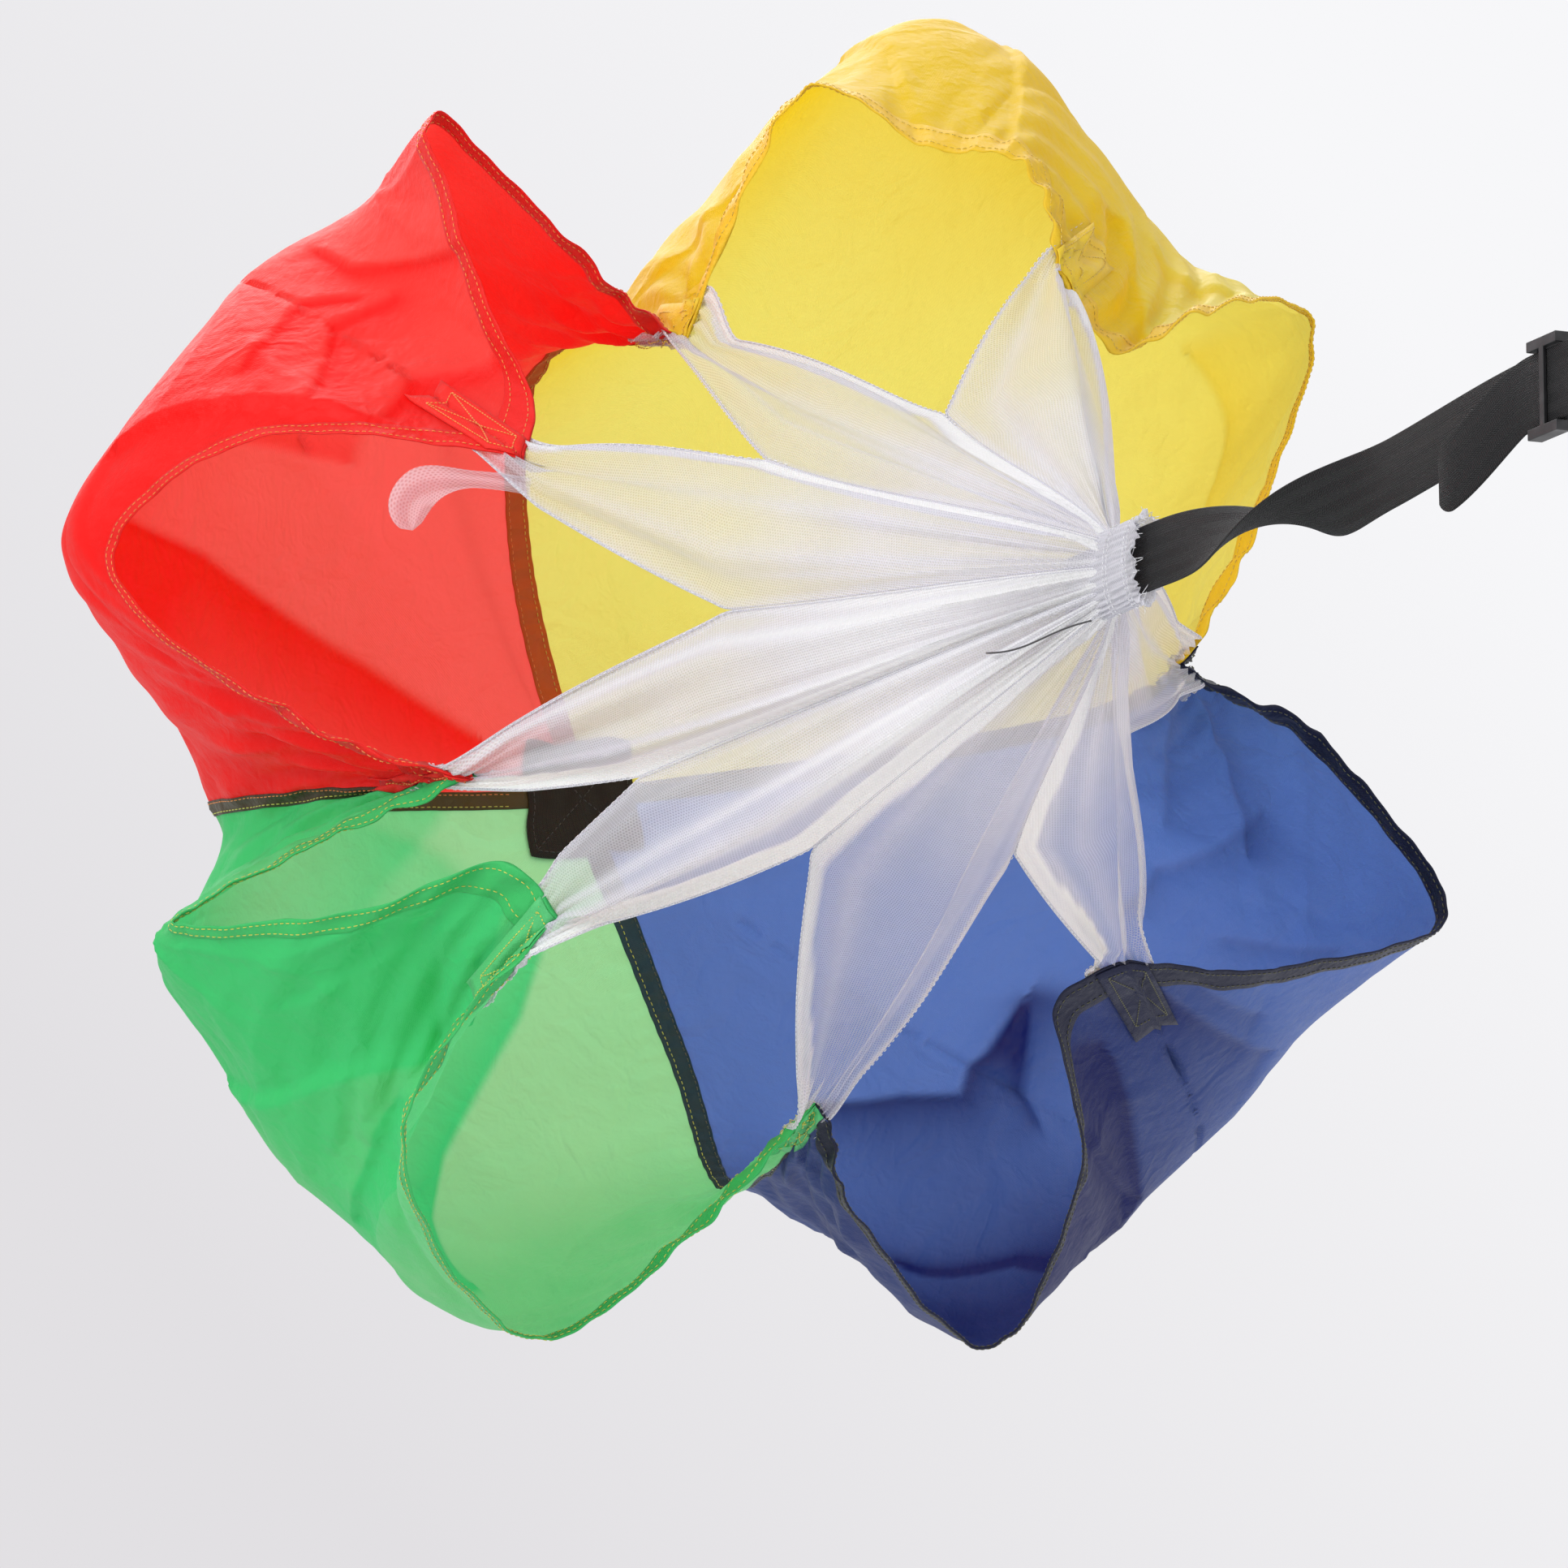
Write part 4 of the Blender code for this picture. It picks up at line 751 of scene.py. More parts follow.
def air_mesh(name, dark, light):
    """Spacer mesh on the pad: rows of small round holes in a soft knit."""
    made, tree = tree_of(name)
    across, along = uv_parts(tree)
    slants = [maths(tree, way, across, along) for way in ("ADD", "SUBTRACT")]
    dots = times(tree, *(grating(tree, slant, AIR_MESH_PITCH) for slant in slants))
    height = times_plus(tree, grating(tree, along, KNIT_PITCH), 0.15, dots)
    colour = blend_colours(tree, spread(tree, height, -0.9, 0.5), dark, light)
    rough = spread(tree, noise(tree, 700.0, 3.0), 0.3, 0.7, 0.72, 0.92)
    bump = bumped(tree, 0.9, 0.0008, height)
    finish_tree(tree, principled(tree, colour, rough, bump, {"Sheen Weight": 0.4}))
    return made


# Each quarter's pale colour is painted light shining through the nylon, and its deep colour is the
# one the painted shade runs to.
NYLON = {
    "red": nylon("nylon_red", srgb(255, 92, 84), srgb(252, 18, 14)),
    "green": nylon("nylon_green", srgb(160, 226, 160), srgb(70, 214, 126)),
    "blue": nylon("nylon_blue", srgb(90, 122, 196), srgb(14, 26, 96), 0.34),
    "yellow": nylon("nylon_yellow", srgb(238, 228, 112), srgb(240, 204, 10)),
}
HEM = {
    "red": nylon("hem_tape_red", srgb(248, 40, 32), srgb(236, 20, 16), 0.2),
    "green": nylon("hem_tape_green", srgb(92, 206, 126), srgb(44, 190, 94), 0.2),
    "blue": nylon("hem_tape_blue", srgb(24, 29, 60), srgb(15, 19, 45), 0.1),
    "yellow": nylon("hem_tape_yellow", srgb(255, 226, 66), srgb(252, 214, 44), 0.34),
}
FELLED = {
    "yellow_red": nylon("felled_yellow_red", srgb(206, 92, 30), srgb(196, 66, 20), 0.14),
    "red_green": nylon("felled_red_green", srgb(80, 66, 34), srgb(62, 50, 28), 0.08),
    "green_blue": nylon("felled_green_blue", srgb(34, 62, 72), srgb(24, 44, 54), 0.08),
    "blue_yellow": nylon("felled_blue_yellow", srgb(96, 100, 60), srgb(40, 46, 66), 0.08),
}
THREAD = {
    "red": thread("thread_orange", srgb(255, 150, 60)),
    "green": thread("thread_yellow", srgb(222, 220, 84)),
    "blue": thread("thread_olive", srgb(92, 92, 60)),
    "yellow": thread("thread_gold", srgb(242, 206, 70)),
    "white": thread("thread_white", srgb(238, 238, 242)),
    "black": thread("thread_black", srgb(58, 57, 60)),
}
NET = net("white_net", srgb(237, 234, 247), 0.40)
NET_TAPE = net("white_net_tape", srgb(244, 243, 252), 0.64)
SLEEVE = net("white_net_sleeve", srgb(230, 229, 237), 0.62)
STRAP_WEBBING = webbing("strap_webbing", srgb(7, 7, 8), srgb(26, 26, 29))
BELT_WEBBING = webbing("belt_webbing", srgb(12, 12, 13), srgb(38, 38, 41))
BINDING_TAPE = webbing("binding_tape", srgb(30, 30, 33), srgb(74, 74, 78), 0.0012, 0.0031)
PATCH_BLACK = webbing("patch_black", srgb(40, 36, 34), srgb(66, 60, 56), 0.0010, 0.0022)
ACETAL = plastic("black_acetal", srgb(30, 30, 32))
NICKEL = steel("nickel_wire")
LINING = air_mesh("pad_air_mesh", srgb(20, 20, 22), srgb(62, 62, 66))
BACKING = webbing("pad_oxford", srgb(30, 30, 33), srgb(58, 58, 62), 0.0009, 0.0018)


# ---------------------------------------------------------------------------------------
# The canopy: one continuous sheet, its seams, turned hems and patches, and their stitches.

CLOTH_CELLS = 360
SEAM_LIFT = 0.0008
# Stitches: the step from each to the next, and its length.
CLOTH_STITCH = (0.0042, 0.0030)
BOX_STITCH = (0.0024, 0.0020)
NET_STITCH = (0.0052, 0.0034)
SLEEVE_STITCH = (0.0032, 0.0024)
WEBBING_STITCH = (0.0036, 0.0026)
KEEPER_STITCH = (0.0026, 0.0020)
BINDING_STITCH = (0.0034, 0.0025)
QUILT_STITCH = (0.0034, 0.0026)
THREAD_R = 0.00032
THICK_THREAD_R = 0.00042
FRAYED_THREAD_R = 0.00022
THREAD_LIFT = 0.0001
# Where each stitch is full, as shares of its length, and how far it stands out there and dips
# at its ends, in radii.
THREAD_WAISTS = (0.18, 0.82)
THREAD_STAND = 0.7
THREAD_DIP = 0.8
HEM_ROWS = (0.0024, 0.0098)
SEAM_ROW = 0.0040
SEAM_SPAN = (0.030, HALF_SIDE - 0.010)
SEAM_ROW_SPAN = (0.046, HALF_SIDE - 0.014)
PATCH_T = 0.0008
PATCH_PUFF = 0.0005
# The box of stitching on a tab patch: half its width, and its two ends, in from the edge.
TAB_BOX = (0.0125, 0.0035, 0.0295)
NET_TOP_LIFT = 0.0030
CROWN_PATCH_T = 0.0010
CROWN_PATCH_GAP = 0.0005
CROWN_STITCH_LIFT = 0.0016
CROWN_PATCH_PUFF = 0.0007
CROWN_STITCH_INSET = 0.004
# How deep the colour is at the outside of each half lobe, from tab A on: painted shade where it is
# deep, painted light shining through where it is pale.
HALF_LOBE_PAINTED_SHADE = (.9, .3, .9, 1., .8, .9, .7, .5, .8, 1., .12, 0., .1, .3, 1., 1.)


def make_canopy():
    """The nylon square, on a regular grid of its flat cut, coloured by its four quarters, with
    painted light and shade in its tone.
    """
    shares = np.linspace(-HALF_SIDE, HALF_SIDE, CLOTH_CELLS + 1)
    up, across = np.meshgrid(shares, shares, indexing="ij")
    ring, place = flat_at(across, up)
    points, _ = lifted(ring, place)
    faces = grid_faces(CLOTH_CELLS + 1, CLOTH_CELLS + 1)
    middle = (shares[:-1] + shares[1:]) / 2
    face_up, face_across = np.meshgrid(middle, middle, indexing="ij")
    slots = (flat_at(face_across, face_up)[1] // 2).astype(int).ravel()
    # Painted light and shade: pale towards the crown as light shining through, deepening to each
    # half lobe's painted shade at the edge, with the large folds' painted shade added.
    lobe_painted_shade = np.interp(place, np.arange(16) / 2 + 0.25, HALF_LOBE_PAINTED_SHADE, period=LOBES)
    tone = ease((ring - 0.45) / 0.35) * lobe_painted_shade + folded(across, up)[1]
    uvs = np.stack([across, up], axis=-1)
    looks = [NYLON[colour] for colour in QUADRANTS]
    canopy = add_mesh("canopy", points, faces, looks, "chute", uvs, slots, tone)
    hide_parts(*(f"canopy_{colour}" for colour in QUADRANTS))
    return canopy


def banded(name, ring, place, lifts, look, uvs, tone):
    """A closed band on the canopy: rows along it, columns round its flattened section."""
    points, normals = lifted(ring, place)
    points = points + normals * lifts[..., None]
    faces = tube_faces(*points.shape[:2])
    return add_mesh(name, points, faces, look, "chute", uvs, tone=tone)


def mirrored(half, tip=()):
    """A band's section from its upper half, as distances across and out of the cloth."""
    return np.array([*half, *tip, *((across, -lift) for across, lift in half[::-1])])


HEM_SECTION = mirrored((
    (.0126, .0002), (.0122, .0008), (.0098, .0007), (.0062, .0011), (.0024, .0007), (.0005, .0007),
), [(-.0004, .0)])


def make_hems():
    """The nylon turned over twice along the outer edges, and mitred at the corners."""
    for number, colour in enumerate(QUADRANTS):
        places = np.linspace(2 * number, 2 * number + 2, 341)[:, None]
        ring, places = paired(1 - HEM_SECTION[None, :, 0] / HALF_SIDE, places)
        lifts = np.broadcast_to(HEM_SECTION[None, :, 1], ring.shape)
        uvs = np.stack(flat_of(ring, places), axis=-1)
        tone = np.full(ring.shape, 0.7)
        hem = banded(f"hem_fold_{colour}", ring, places, lifts, HEM[colour], uvs, tone)
        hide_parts(f"hem_{colour}")


SEAM_SECTION = mirrored((
    (-.0062, .0002), (-.0058, .0009), (-.0040, .0007), (0, .0012), (.0040, .0007), (.0058, .0009),
    (.0062, .0002),
))


def make_seams():
    """Flat-felled seams, where each pair of quarters is folded into the other."""
    reach = np.linspace(*SEAM_SPAN, 230)[:, None]
    offset, reach = paired(SEAM_SECTION[None, :, 0], reach)
    lifts = np.broadcast_to(SEAM_SECTION[None, :, 1], offset.shape)
    for number, name in enumerate(SEAM_NAMES):
        ring = reach / HALF_SIDE
        place = 2 * number + offset / reach
        uvs = np.stack([offset, reach], axis=-1)
        # Paler towards the crown: painted light shining through, as on the cloth.
        tone = ease((ring - 0.3) / 0.6)
        seam = banded(f"felled_{name}", ring, place, lifts, FELLED[name], uvs, tone)
        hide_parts(f"seam_{name}")


def row_of_stitches(path, normals, stitch=CLOTH_STITCH):
    """Starts, ends and normals of the stitches along a row."""
    pitch, length = stitch
    at = measured(path)
    count = max(int(at[-1] / pitch), 1)
    starts = (np.arange(count) + 0.5) * at[-1] / count - length / 2

    def read(values, where):
        return np.stack([np.interp(where, at, values[:, k]) for k in range(3)], axis=-1)

    facing = unit(read(normals, starts + length / 2))
    return read(path, starts), read(path, starts + length), facing


def add_threads(name, rows, look, body, radius=THREAD_R):
    """Stitches as short tapered threads that dip into the fabric at both ends."""
    starts, ends, normals = (np.concatenate([row[k] for row in rows]) for k in range(3))
    side = unit(np.cross(ends - starts, normals))
    points = []
    for share in THREAD_WAISTS:
        middle = starts + (ends - starts) * share + normals * radius * THREAD_STAND
        for turn in (0, 90, 180, 270):
            angle = math.radians(turn)
            points.append(middle + radius * (side * math.cos(angle) + normals * math.sin(angle)))
    dip = normals * radius * THREAD_DIP
    points = np.stack([starts - dip, *points, ends - dip], axis=1)
    faces = []
    for k in range(len(starts)):
        first = 10 * k
        for j in range(4):
            a, b = first + 1 + j, first + 1 + (j + 1) % 4
            faces += [(first, b, a), (a, b, b + 4, a + 4), (a + 4, b + 4, first + 9)]
    return add_mesh(name, points, faces, look, body)


def flat_row(points, way, stitch):
    """A row of stitches on a face that looks along X, forwards or back."""
    points = np.array(points)
    return row_of_stitches(points, np.tile([way, 0.0, 0.0], (len(points), 1)), stitch)


def cloth_row(ring, place, lift):
    """A row of stitches on the canopy, on the side that the lift's sign gives."""
    points, normals = lifted(ring, place, lift)
    return row_of_stitches(points, normals * math.copysign(1.0, lift))


def make_canopy_stitches():
    """Two rows along each hem and one beside each seam, on both sides of the cloth."""
    for number, colour in enumerate(QUADRANTS):
        rows = []
        places = np.linspace(2 * number, 2 * number + 2, 500)
        for inwards in HEM_ROWS:
            for lift in (SEAM_LIFT, -SEAM_LIFT):
                rows.append(cloth_row(1 - inwards / HALF_SIDE, places, lift))
        reach = np.linspace(*SEAM_ROW_SPAN, 220)
        for tab, offset in ((2 * number, SEAM_ROW), (2 * number + 2, -SEAM_ROW)):
            for lift in (SEAM_LIFT, -SEAM_LIFT):
                rows.append(cloth_row(reach / HALF_SIDE, tab + offset / reach, lift))
        add_threads(f"stitches_{colour}", rows, THREAD[colour], "chute")


def patch_place(tab, offset, inwards):
    """Ring and place of a spot near a tab, from metres along the edge and in from it."""
    return 1 - inwards / HALF_SIDE, tab + offset / HALF_SIDE


def crossed_box(left, right, low, high, count):
    """The sides and diagonals of a box of stitching, each as its points across and up."""
    corners = [(left, low), (right, low), (right, high), (left, high)]
    lines = list(zip(corners, corners[1:] + corners[:1]))
    lines += [(corners[0], corners[2]), (corners[1], corners[3])]
    share = np.linspace(0, 1, count)
    return [(a + (c - a) * share, b + (d - b) * share) for (a, b), (c, d) in lines]


def make_tab_patches():
    """Squares of nylon under each tab, sewn through hem and net with a boxed cross."""
    half = TAB_PATCH_SIDE / 2
    near = HEM_T / 2 + GAP
    inwards, offset = np.meshgrid(
        np.linspace(0.0006, TAB_PATCH_SIDE, 13), np.linspace(-half, half, 13), indexing="ij"
    )
    for tab, letter in enumerate(TAB_LETTERS):
        colour = QUADRANTS[tab // 2] if tab % 2 else QUADRANTS[tab // 2 - 1]
        ring, place = patch_place(tab, offset, inwards)
        points, normals = lifted(ring[::-1], place[::-1])
        round_off = 1 - np.maximum(abs(offset) / half, abs(inwards - half) / half) ** 6
        puff = PATCH_PUFF * round_off[::-1, :, None]
        uvs = np.stack([offset, inwards], axis=-1)[::-1]
        patch = shell_mesh(
            f"patch_{letter}", points - normals * puff, normals, -near - PATCH_T, -near,
            HEM[colour], uvs,
        )
        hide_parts(f"tab_patch_{letter}")
        rows = []
        half_box, box_start, box_end = TAB_BOX
        for lift in (NET_TOP_LIFT, -near - 1.5 * PATCH_T):
            for line in crossed_box(-half_box, half_box, box_start, box_end, 30):
                points, normals = lifted(*patch_place(tab, *line), lift)
                facing = normals * math.copysign(1, lift)
                rows.append(row_of_stitches(points, facing, BOX_STITCH))
        add_threads(f"box_stitch_{letter}", rows, THREAD[colour], "chute", THICK_THREAD_R)


def patch_spot(across, up):
    """Ring and place of points of the crown patch, which stays flat and square on the cloth."""
    ring, place = flat_at(across, up)
    distance = np.hypot(across, up)
    for _ in range(8):
        offset = cloth(ring, place) - CROWN
        ring = ring * distance / np.maximum(np.linalg.norm(offset, axis=-1), 1e-9)
    return ring, place


def make_centre_patches():
    """Black squares over the crossing of the seams, inside and outside."""
    half = CENTRE_PATCH_SIDE * PATCH_SQUARE_SHARE / 2
    shares = np.linspace(-half, half, 31)
    up, across = np.meshgrid(shares, shares, indexing="ij")
    ring, place = patch_spot(across[:, ::-1], up)
    points, normals = lifted(ring, place)
    uvs = np.stack([across, up], axis=-1)
    near = SEAM_LIFT + CROWN_PATCH_GAP
    rows = []
    rim = np.maximum(abs(across), abs(up)) / half
    puff = CROWN_PATCH_PUFF * (1 - rim ** 8)
    for name, side in (("inside", 1), ("outside", -1)):
        low, high = sorted((side * near, side * (near + CROWN_PATCH_T)))
        patch = shell_mesh(
            f"crown_patch_{name}", points + normals * (side * puff)[..., None], normals, low, high,
            PATCH_BLACK, uvs,
        )
        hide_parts(f"centre_patch_{name}")
        lift = side * (near + CROWN_STITCH_LIFT)
        inner = half - CROWN_STITCH_INSET
        for line in crossed_box(-inner, inner, -inner, inner, 60):
            row, facing = lifted(*patch_spot(*line), lift)
            rows.append(row_of_stitches(row, facing * side))
    add_threads("crown_stitches", rows, THREAD["black"], "chute")


# ---------------------------------------------------------------------------------------
# The net cone: eight tongues with folds and taped edges, and the sleeve at their neck.

NET_ROWS = 150
NET_COLUMNS = 33
NET_OVERLAP = 0.030
NET_FOLDS = 2.2
NET_FOLD_HEIGHT = 0.0060
NET_FAN_HEIGHT = 0.0022
TAPE_WIDTH = 0.0020
TAPE_T = 0.0009
TAPE_THIN_SHARE = 0.25
TAPE_FADE = 0.14
TAPE_INSET_SHARE = 0.42
NET_BAND_DENSITY = 0.13
# How wide each tongue starts, on either side, as a share of the room to its neighbour: mostly
# narrower than the part's, because the net is bunched where it is sewn to a tab.
NET_START_SHARES = (
    (.10, .14), (.12, .18), (.20, .26), (.52, .10), (.12, .12), (.12, .12), (.14, .14), (.07, .10),
)
# How far each tongue reaches towards its neighbours once they meet, 1 for halfway.
NET_REACHES = ((1, 1), (1, 1), (1, .8), (1.2, .7), (1.3, 1), (1, 1), (1, 1), (1, 1))
NET_SEWN_REACH = 0.046
NET_DENSITIES = (.06, .05, .30, .20, -.05, -.04, .06, .04)
# The side of each tongue whose edge is a knitted selvage.
NET_SELVAGE_SIDES = (-1, -1, 1, 1, -1, -1, 1, -1)
NET_SELVAGE_DENSITY = 0.50
NET_SELVAGE_WIDTH = 0.015
NET_BAND_WIDTH = 0.005
NET_BAND_FADE = 0.002
# How much denser the net looks where it is gathered, as it draws in and again nearer the neck,
# and along a doubled fold.
NET_GATHERED = ((0.10, 0.12), (0.24, 0.38))
NET_GATHER_RISE = 0.3
NET_DOUBLED_DENSITY = 0.15
# Where each tongue's net is doubled in a long fold, across it from -1 to 1, and how wide.
NET_DOUBLED = [
    [(RANDOM.uniform(-0.8, 0.8), RANDOM.uniform(0.04, 0.16)) for _ in range(4)]
    for _ in range(LOBES)
]


def tab_row(tab):
    """Distance, angle and reach ahead of one tab, the angle counting on past a full turn."""
    row = EDGE_SHARES[tab % LOBES][0]
    return np.array(row[1:]) + np.array([0.0, 360.0 * (tab // LOBES), 0.0])


def round_neck(x, reach, turns):
    """Points round the oval neck, at some distance out from it."""
    return np.stack([
        np.broadcast_to(x, turns.shape), (NECK_HALF_THICKNESS + reach) * np.cos(turns),
        (NECK_HALF_HEIGHT + reach) * np.sin(turns),
    ], axis=-1)


def cone_point(station, place):
    """A point on the net cone: station 0 is the ring of tabs and 1 the neck."""
    tab = math.floor(place)
    share = place - tab
    distance, degrees, ahead = tab_row(tab) * (1 - share) + tab_row(tab + 1) * share
    start = polar(distance, degrees, ahead) * CANOPY_SIDE
    neck = round_neck(CONE_LENGTH, 0.0, np.radians(degrees))
    point = start * (1 - station) + neck * station
    valley = math.sin(math.pi * share) ** 2 * math.sin(math.pi * station)
    point[1:] *= 1 - TONGUE_VALLEY_SHARE * valley
    return point + CROWN


def side_share(tab, station, side):
    """How much of the room to the neighbour on one side a tongue fills at a station."""
    start = NET_START_SHARES[tab][1 if side > 0 else 0]
    widest = NET_REACHES[tab][1 if side > 0 else 0]
    meeting = TONGUE_MEETING_SHARES[tab if side > 0 else tab - 1]
    reach = start + (widest * (1 - meeting) - start) * station / meeting
    return min(widest, reach / (1 - station)) if station < meeting else widest


def tongue_grid(tab):
    """A tongue's smooth surface: the part's own rows, refined both ways."""
    lift = HEM_T / 2 + GAP + MESH_T
    columns = np.array(TONGUE_COLUMN_SHARES)
    wide = np.linspace(-1, 1, NET_COLUMNS)
    starts = np.minimum(NET_START_SHARES[tab], 2 * NET_SEWN_REACH)
    sewn = tab + wide * np.where(wide > 0, starts[1], starts[0]) / 2
    rows = []
    for inwards in np.linspace(NET_OVERLAP, 0.0, 9):
        points, _ = lifted(np.full(NET_COLUMNS, 1 - inwards / HALF_SIDE), sewn, lift)
        rows.append(points)
    for station in np.linspace(TONGUE_FIRST_STATION, 1.0, 60):
        places = [tab + share * side_share(tab, station, share) / 2 for share in columns]
        row = np.array([cone_point(station, place) for place in places])
        rows.append(np.array([through(columns, row, u) for u in wide]))
    rows.append(rows[-1] + np.array([COLLAR_LENGTH * COLLAR_HELD_SHARE, 0.0, 0.0]))
    rows = np.array(rows)
    at = measured(rows[:, NET_COLUMNS // 2])
    places = np.linspace(0, at[-1], NET_ROWS)
    return np.array([through(at, rows, place) for place in places]), places


def grid_normals(points):
    return unit(np.cross(np.gradient(points, axis=0), np.gradient(points, axis=1)))


def window(value, start, rise, end, fall):
    """1 between two places and 0 outside them, eased in and out."""
    return ease((value - start) / rise) * (1 - ease((value - end) / fall))


def tongue_folds(tab, u, v):
    """How far the net stands off its smooth surface, u across it and v along it."""
    folds = np.sin(math.pi * NET_FOLDS * u + 1.3 * tab + 1.2 * np.sin(5 * v + tab))
    folds = folds + 0.3 * np.sin(math.pi * 5 * u + 2.1 * tab + 3.0 * v)
    gathers = 0.22 * window(v, 0.62, 0.2, 0.9, 0.1) * np.sin(math.pi * 10 * u + tab)
    folds = folds * (1 - 0.6 * v) + gathers
    fan = window(v, 0.03, 0.03, 0.06, 0.2) * np.sin(math.pi * 8 * u + tab)
    height = NET_FOLD_HEIGHT * window(v, 0.05, 0.2, 0.82, 0.18) * folds + NET_FAN_HEIGHT * fan
    return height * (1 - u ** 8)


def tongue_tone(tab, u, v, across):
    """How dense the net looks, from metres across it as well."""
    wide = across[:, -1:]
    tone = NET_DENSITIES[tab]
    for density, start in NET_GATHERED:
        tone = tone + density * ease((v - start) / NET_GATHER_RISE)
    across_share = u + 0.10 * np.sin(4 * v + tab)
    for place, width in NET_DOUBLED[tab]:
        tone = tone + NET_DOUBLED_DENSITY * np.exp(-((across_share - place) / width) ** 2)
    from_edge = np.minimum(across, wide - across)
    from_selvage = wide - across if NET_SELVAGE_SIDES[tab] > 0 else across
    selvage = NET_SELVAGE_WIDTH * (1 - 0.4 * v)
    for density, measure, reach in (
        (NET_BAND_DENSITY, from_edge, NET_BAND_WIDTH),
        (NET_SELVAGE_DENSITY, from_selvage, selvage),
    ):
        tone = tone + density * (1 - ease((measure - reach) / NET_BAND_FADE))
    return tone


def make_tapes(tab, letter, points, v):
    """The taped edges of a tongue, which thin out where it meets its neighbours."""
    tapes, rows = [], []
    normals = grid_normals(points)
    for side, edge, inner, beside in (("left", 0, 2, tab - 1), ("right", -1, -3, tab)):
        free = 1 - ease((v - TONGUE_MEETING_SHARES[beside]) / TAPE_FADE)
        inwards = unit(points[:, inner] - points[:, edge])
        middle = points[:, edge] + inwards * TAPE_WIDTH * TAPE_INSET_SHARE
        tapes.append(sweep(
            f"net_tape_{letter}_{side}", middle, inwards, normals[:, edge],
            flat_section(TAPE_WIDTH, TAPE_T, 5), NET_TAPE, "chute",
            scale=TAPE_THIN_SHARE + (1 - TAPE_THIN_SHARE) * free,
        ))
        open_rows = free > 0.5
        for way in (1, -1):
            facing = normals[:, edge] * way
            path = middle + facing * TAPE_T
            rows.append(row_of_stitches(path[open_rows], facing[open_rows], NET_STITCH))
    tapes.append(add_threads(f"net_stitches_{letter}", rows, THREAD["white"], "chute"))
    return tapes


def make_tongue(tab, letter):
    """One tongue of net with its tapes; also its length and its points."""
    points, along = tongue_grid(tab)
    u = np.linspace(-1, 1, NET_COLUMNS)[None, :]
    v = (along / along[-1])[:, None]
    points = points + grid_normals(points) * tongue_folds(tab, u, v)[..., None]
    steps = np.linalg.norm(np.diff(points, axis=1), axis=-1)
    across = np.concatenate([np.zeros((NET_ROWS, 1)), np.cumsum(steps, axis=1)], axis=1)
    uvs = np.stack(paired(across - across[:, -1:] / 2, along[:, None]), axis=-1)
    tone = tongue_tone(tab, u, v, across)
    faces = grid_faces(NET_ROWS, NET_COLUMNS)
    tongue = add_mesh(f"net_tongue_{letter}", points, faces, NET, "chute", uvs, tone=tone)
    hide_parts(f"mesh_tongue_{letter}")
    return tongue, make_tapes(tab, letter, points, v[:, 0]), float(along[-1]), points


# The free end of tab B's net, in metres right and up from the tab: a bend by three points,
# narrow where it leaves the tab and rounded off over its last quarter.
LOOSE_END_BEND = ((0.004, -0.014), (-0.080, 0.002), (-0.066, -0.040))
LOOSE_END_HALF_WIDTH = 0.005
LOOSE_END_WIDENING = 0.008
LOOSE_END_ROUNDING = 0.25
LOOSE_END_RISE = 0.006
LOOSE_END_WAVE = 0.003
LOOSE_END_DENSITY = 0.10
LOOSE_END_CELLS = (32, 15)


def make_loose_end():
    """The free end of tab B's net, which hangs out over the red quarter."""
    right, up, back = view_axes()
    start, _ = lifted(np.array(1.0), np.array(1.0))
    share = np.linspace(0, 1, LOOSE_END_CELLS[0])[:, None]
    side = np.linspace(-1, 1, LOOSE_END_CELLS[1])[None, :]
    first, middle, last = np.array(LOOSE_END_BEND)
    centre = (1 - share) ** 2 * first + 2 * share * (1 - share) * middle + share ** 2 * last
    heading = unit(np.gradient(centre, axis=0))
    beyond = ((share - 1 + LOOSE_END_ROUNDING) / LOOSE_END_ROUNDING).clip(0)
    half = LOOSE_END_HALF_WIDTH + LOOSE_END_WIDENING * ease((share - 0.2) / 0.4)
    half = half * np.sqrt(np.clip(1 - beyond ** 2, 0.0004, 1))
    along = centre[:, :1] - half * side * heading[:, 1:]
    drop = centre[:, 1:] + half * side * heading[:, :1]
    rise = LOOSE_END_RISE + LOOSE_END_WAVE * np.sin(5 * side + 6 * share)
    points = start + along[..., None] * right + drop[..., None] * up + rise[..., None] * back
    uvs = np.stack(paired(side * 0.012, share * 0.06), axis=-1)
    tone = np.full(points.shape[:2], LOOSE_END_DENSITY)
    faces = grid_faces(*LOOSE_END_CELLS)
    return add_mesh("net_loose_end", points, faces, NET, "chute", uvs, tone=tone)


# The stray thread's stations and place on the cone, how far it winds, and its distances in
# front of the net and below its line.
STRAY_STATIONS = (0.80, 0.98)
STRAY_PLACE = 2.75
STRAY_WINDING = 0.10
STRAY_RISE = 0.008
STRAY_DROP = 0.012
STRAY_THICKNESS = 0.0012


def make_stray_thread():
    """A loose black thread that lies over the gathered net."""
    share = np.linspace(0, 1, 24)
    first, last = STRAY_STATIONS
    path = np.array([
        cone_point(first + (last - first) * s, STRAY_PLACE + STRAY_WINDING * math.sin(5 * s))
        for s in share
    ])
    _, up, back = view_axes()
    path = path + STRAY_RISE * back - STRAY_DROP * share[:, None] * up
    tangent = unit(np.gradient(path, axis=0))
    wide = unit(np.cross(tangent, np.array([0.0, 0.3, 1.0])))
    section = flat_section(STRAY_THICKNESS, STRAY_THICKNESS, 4)
    thick = np.cross(tangent, wide)
    return sweep("stray_thread", path, wide, thick, section, THREAD["black"], "chute")


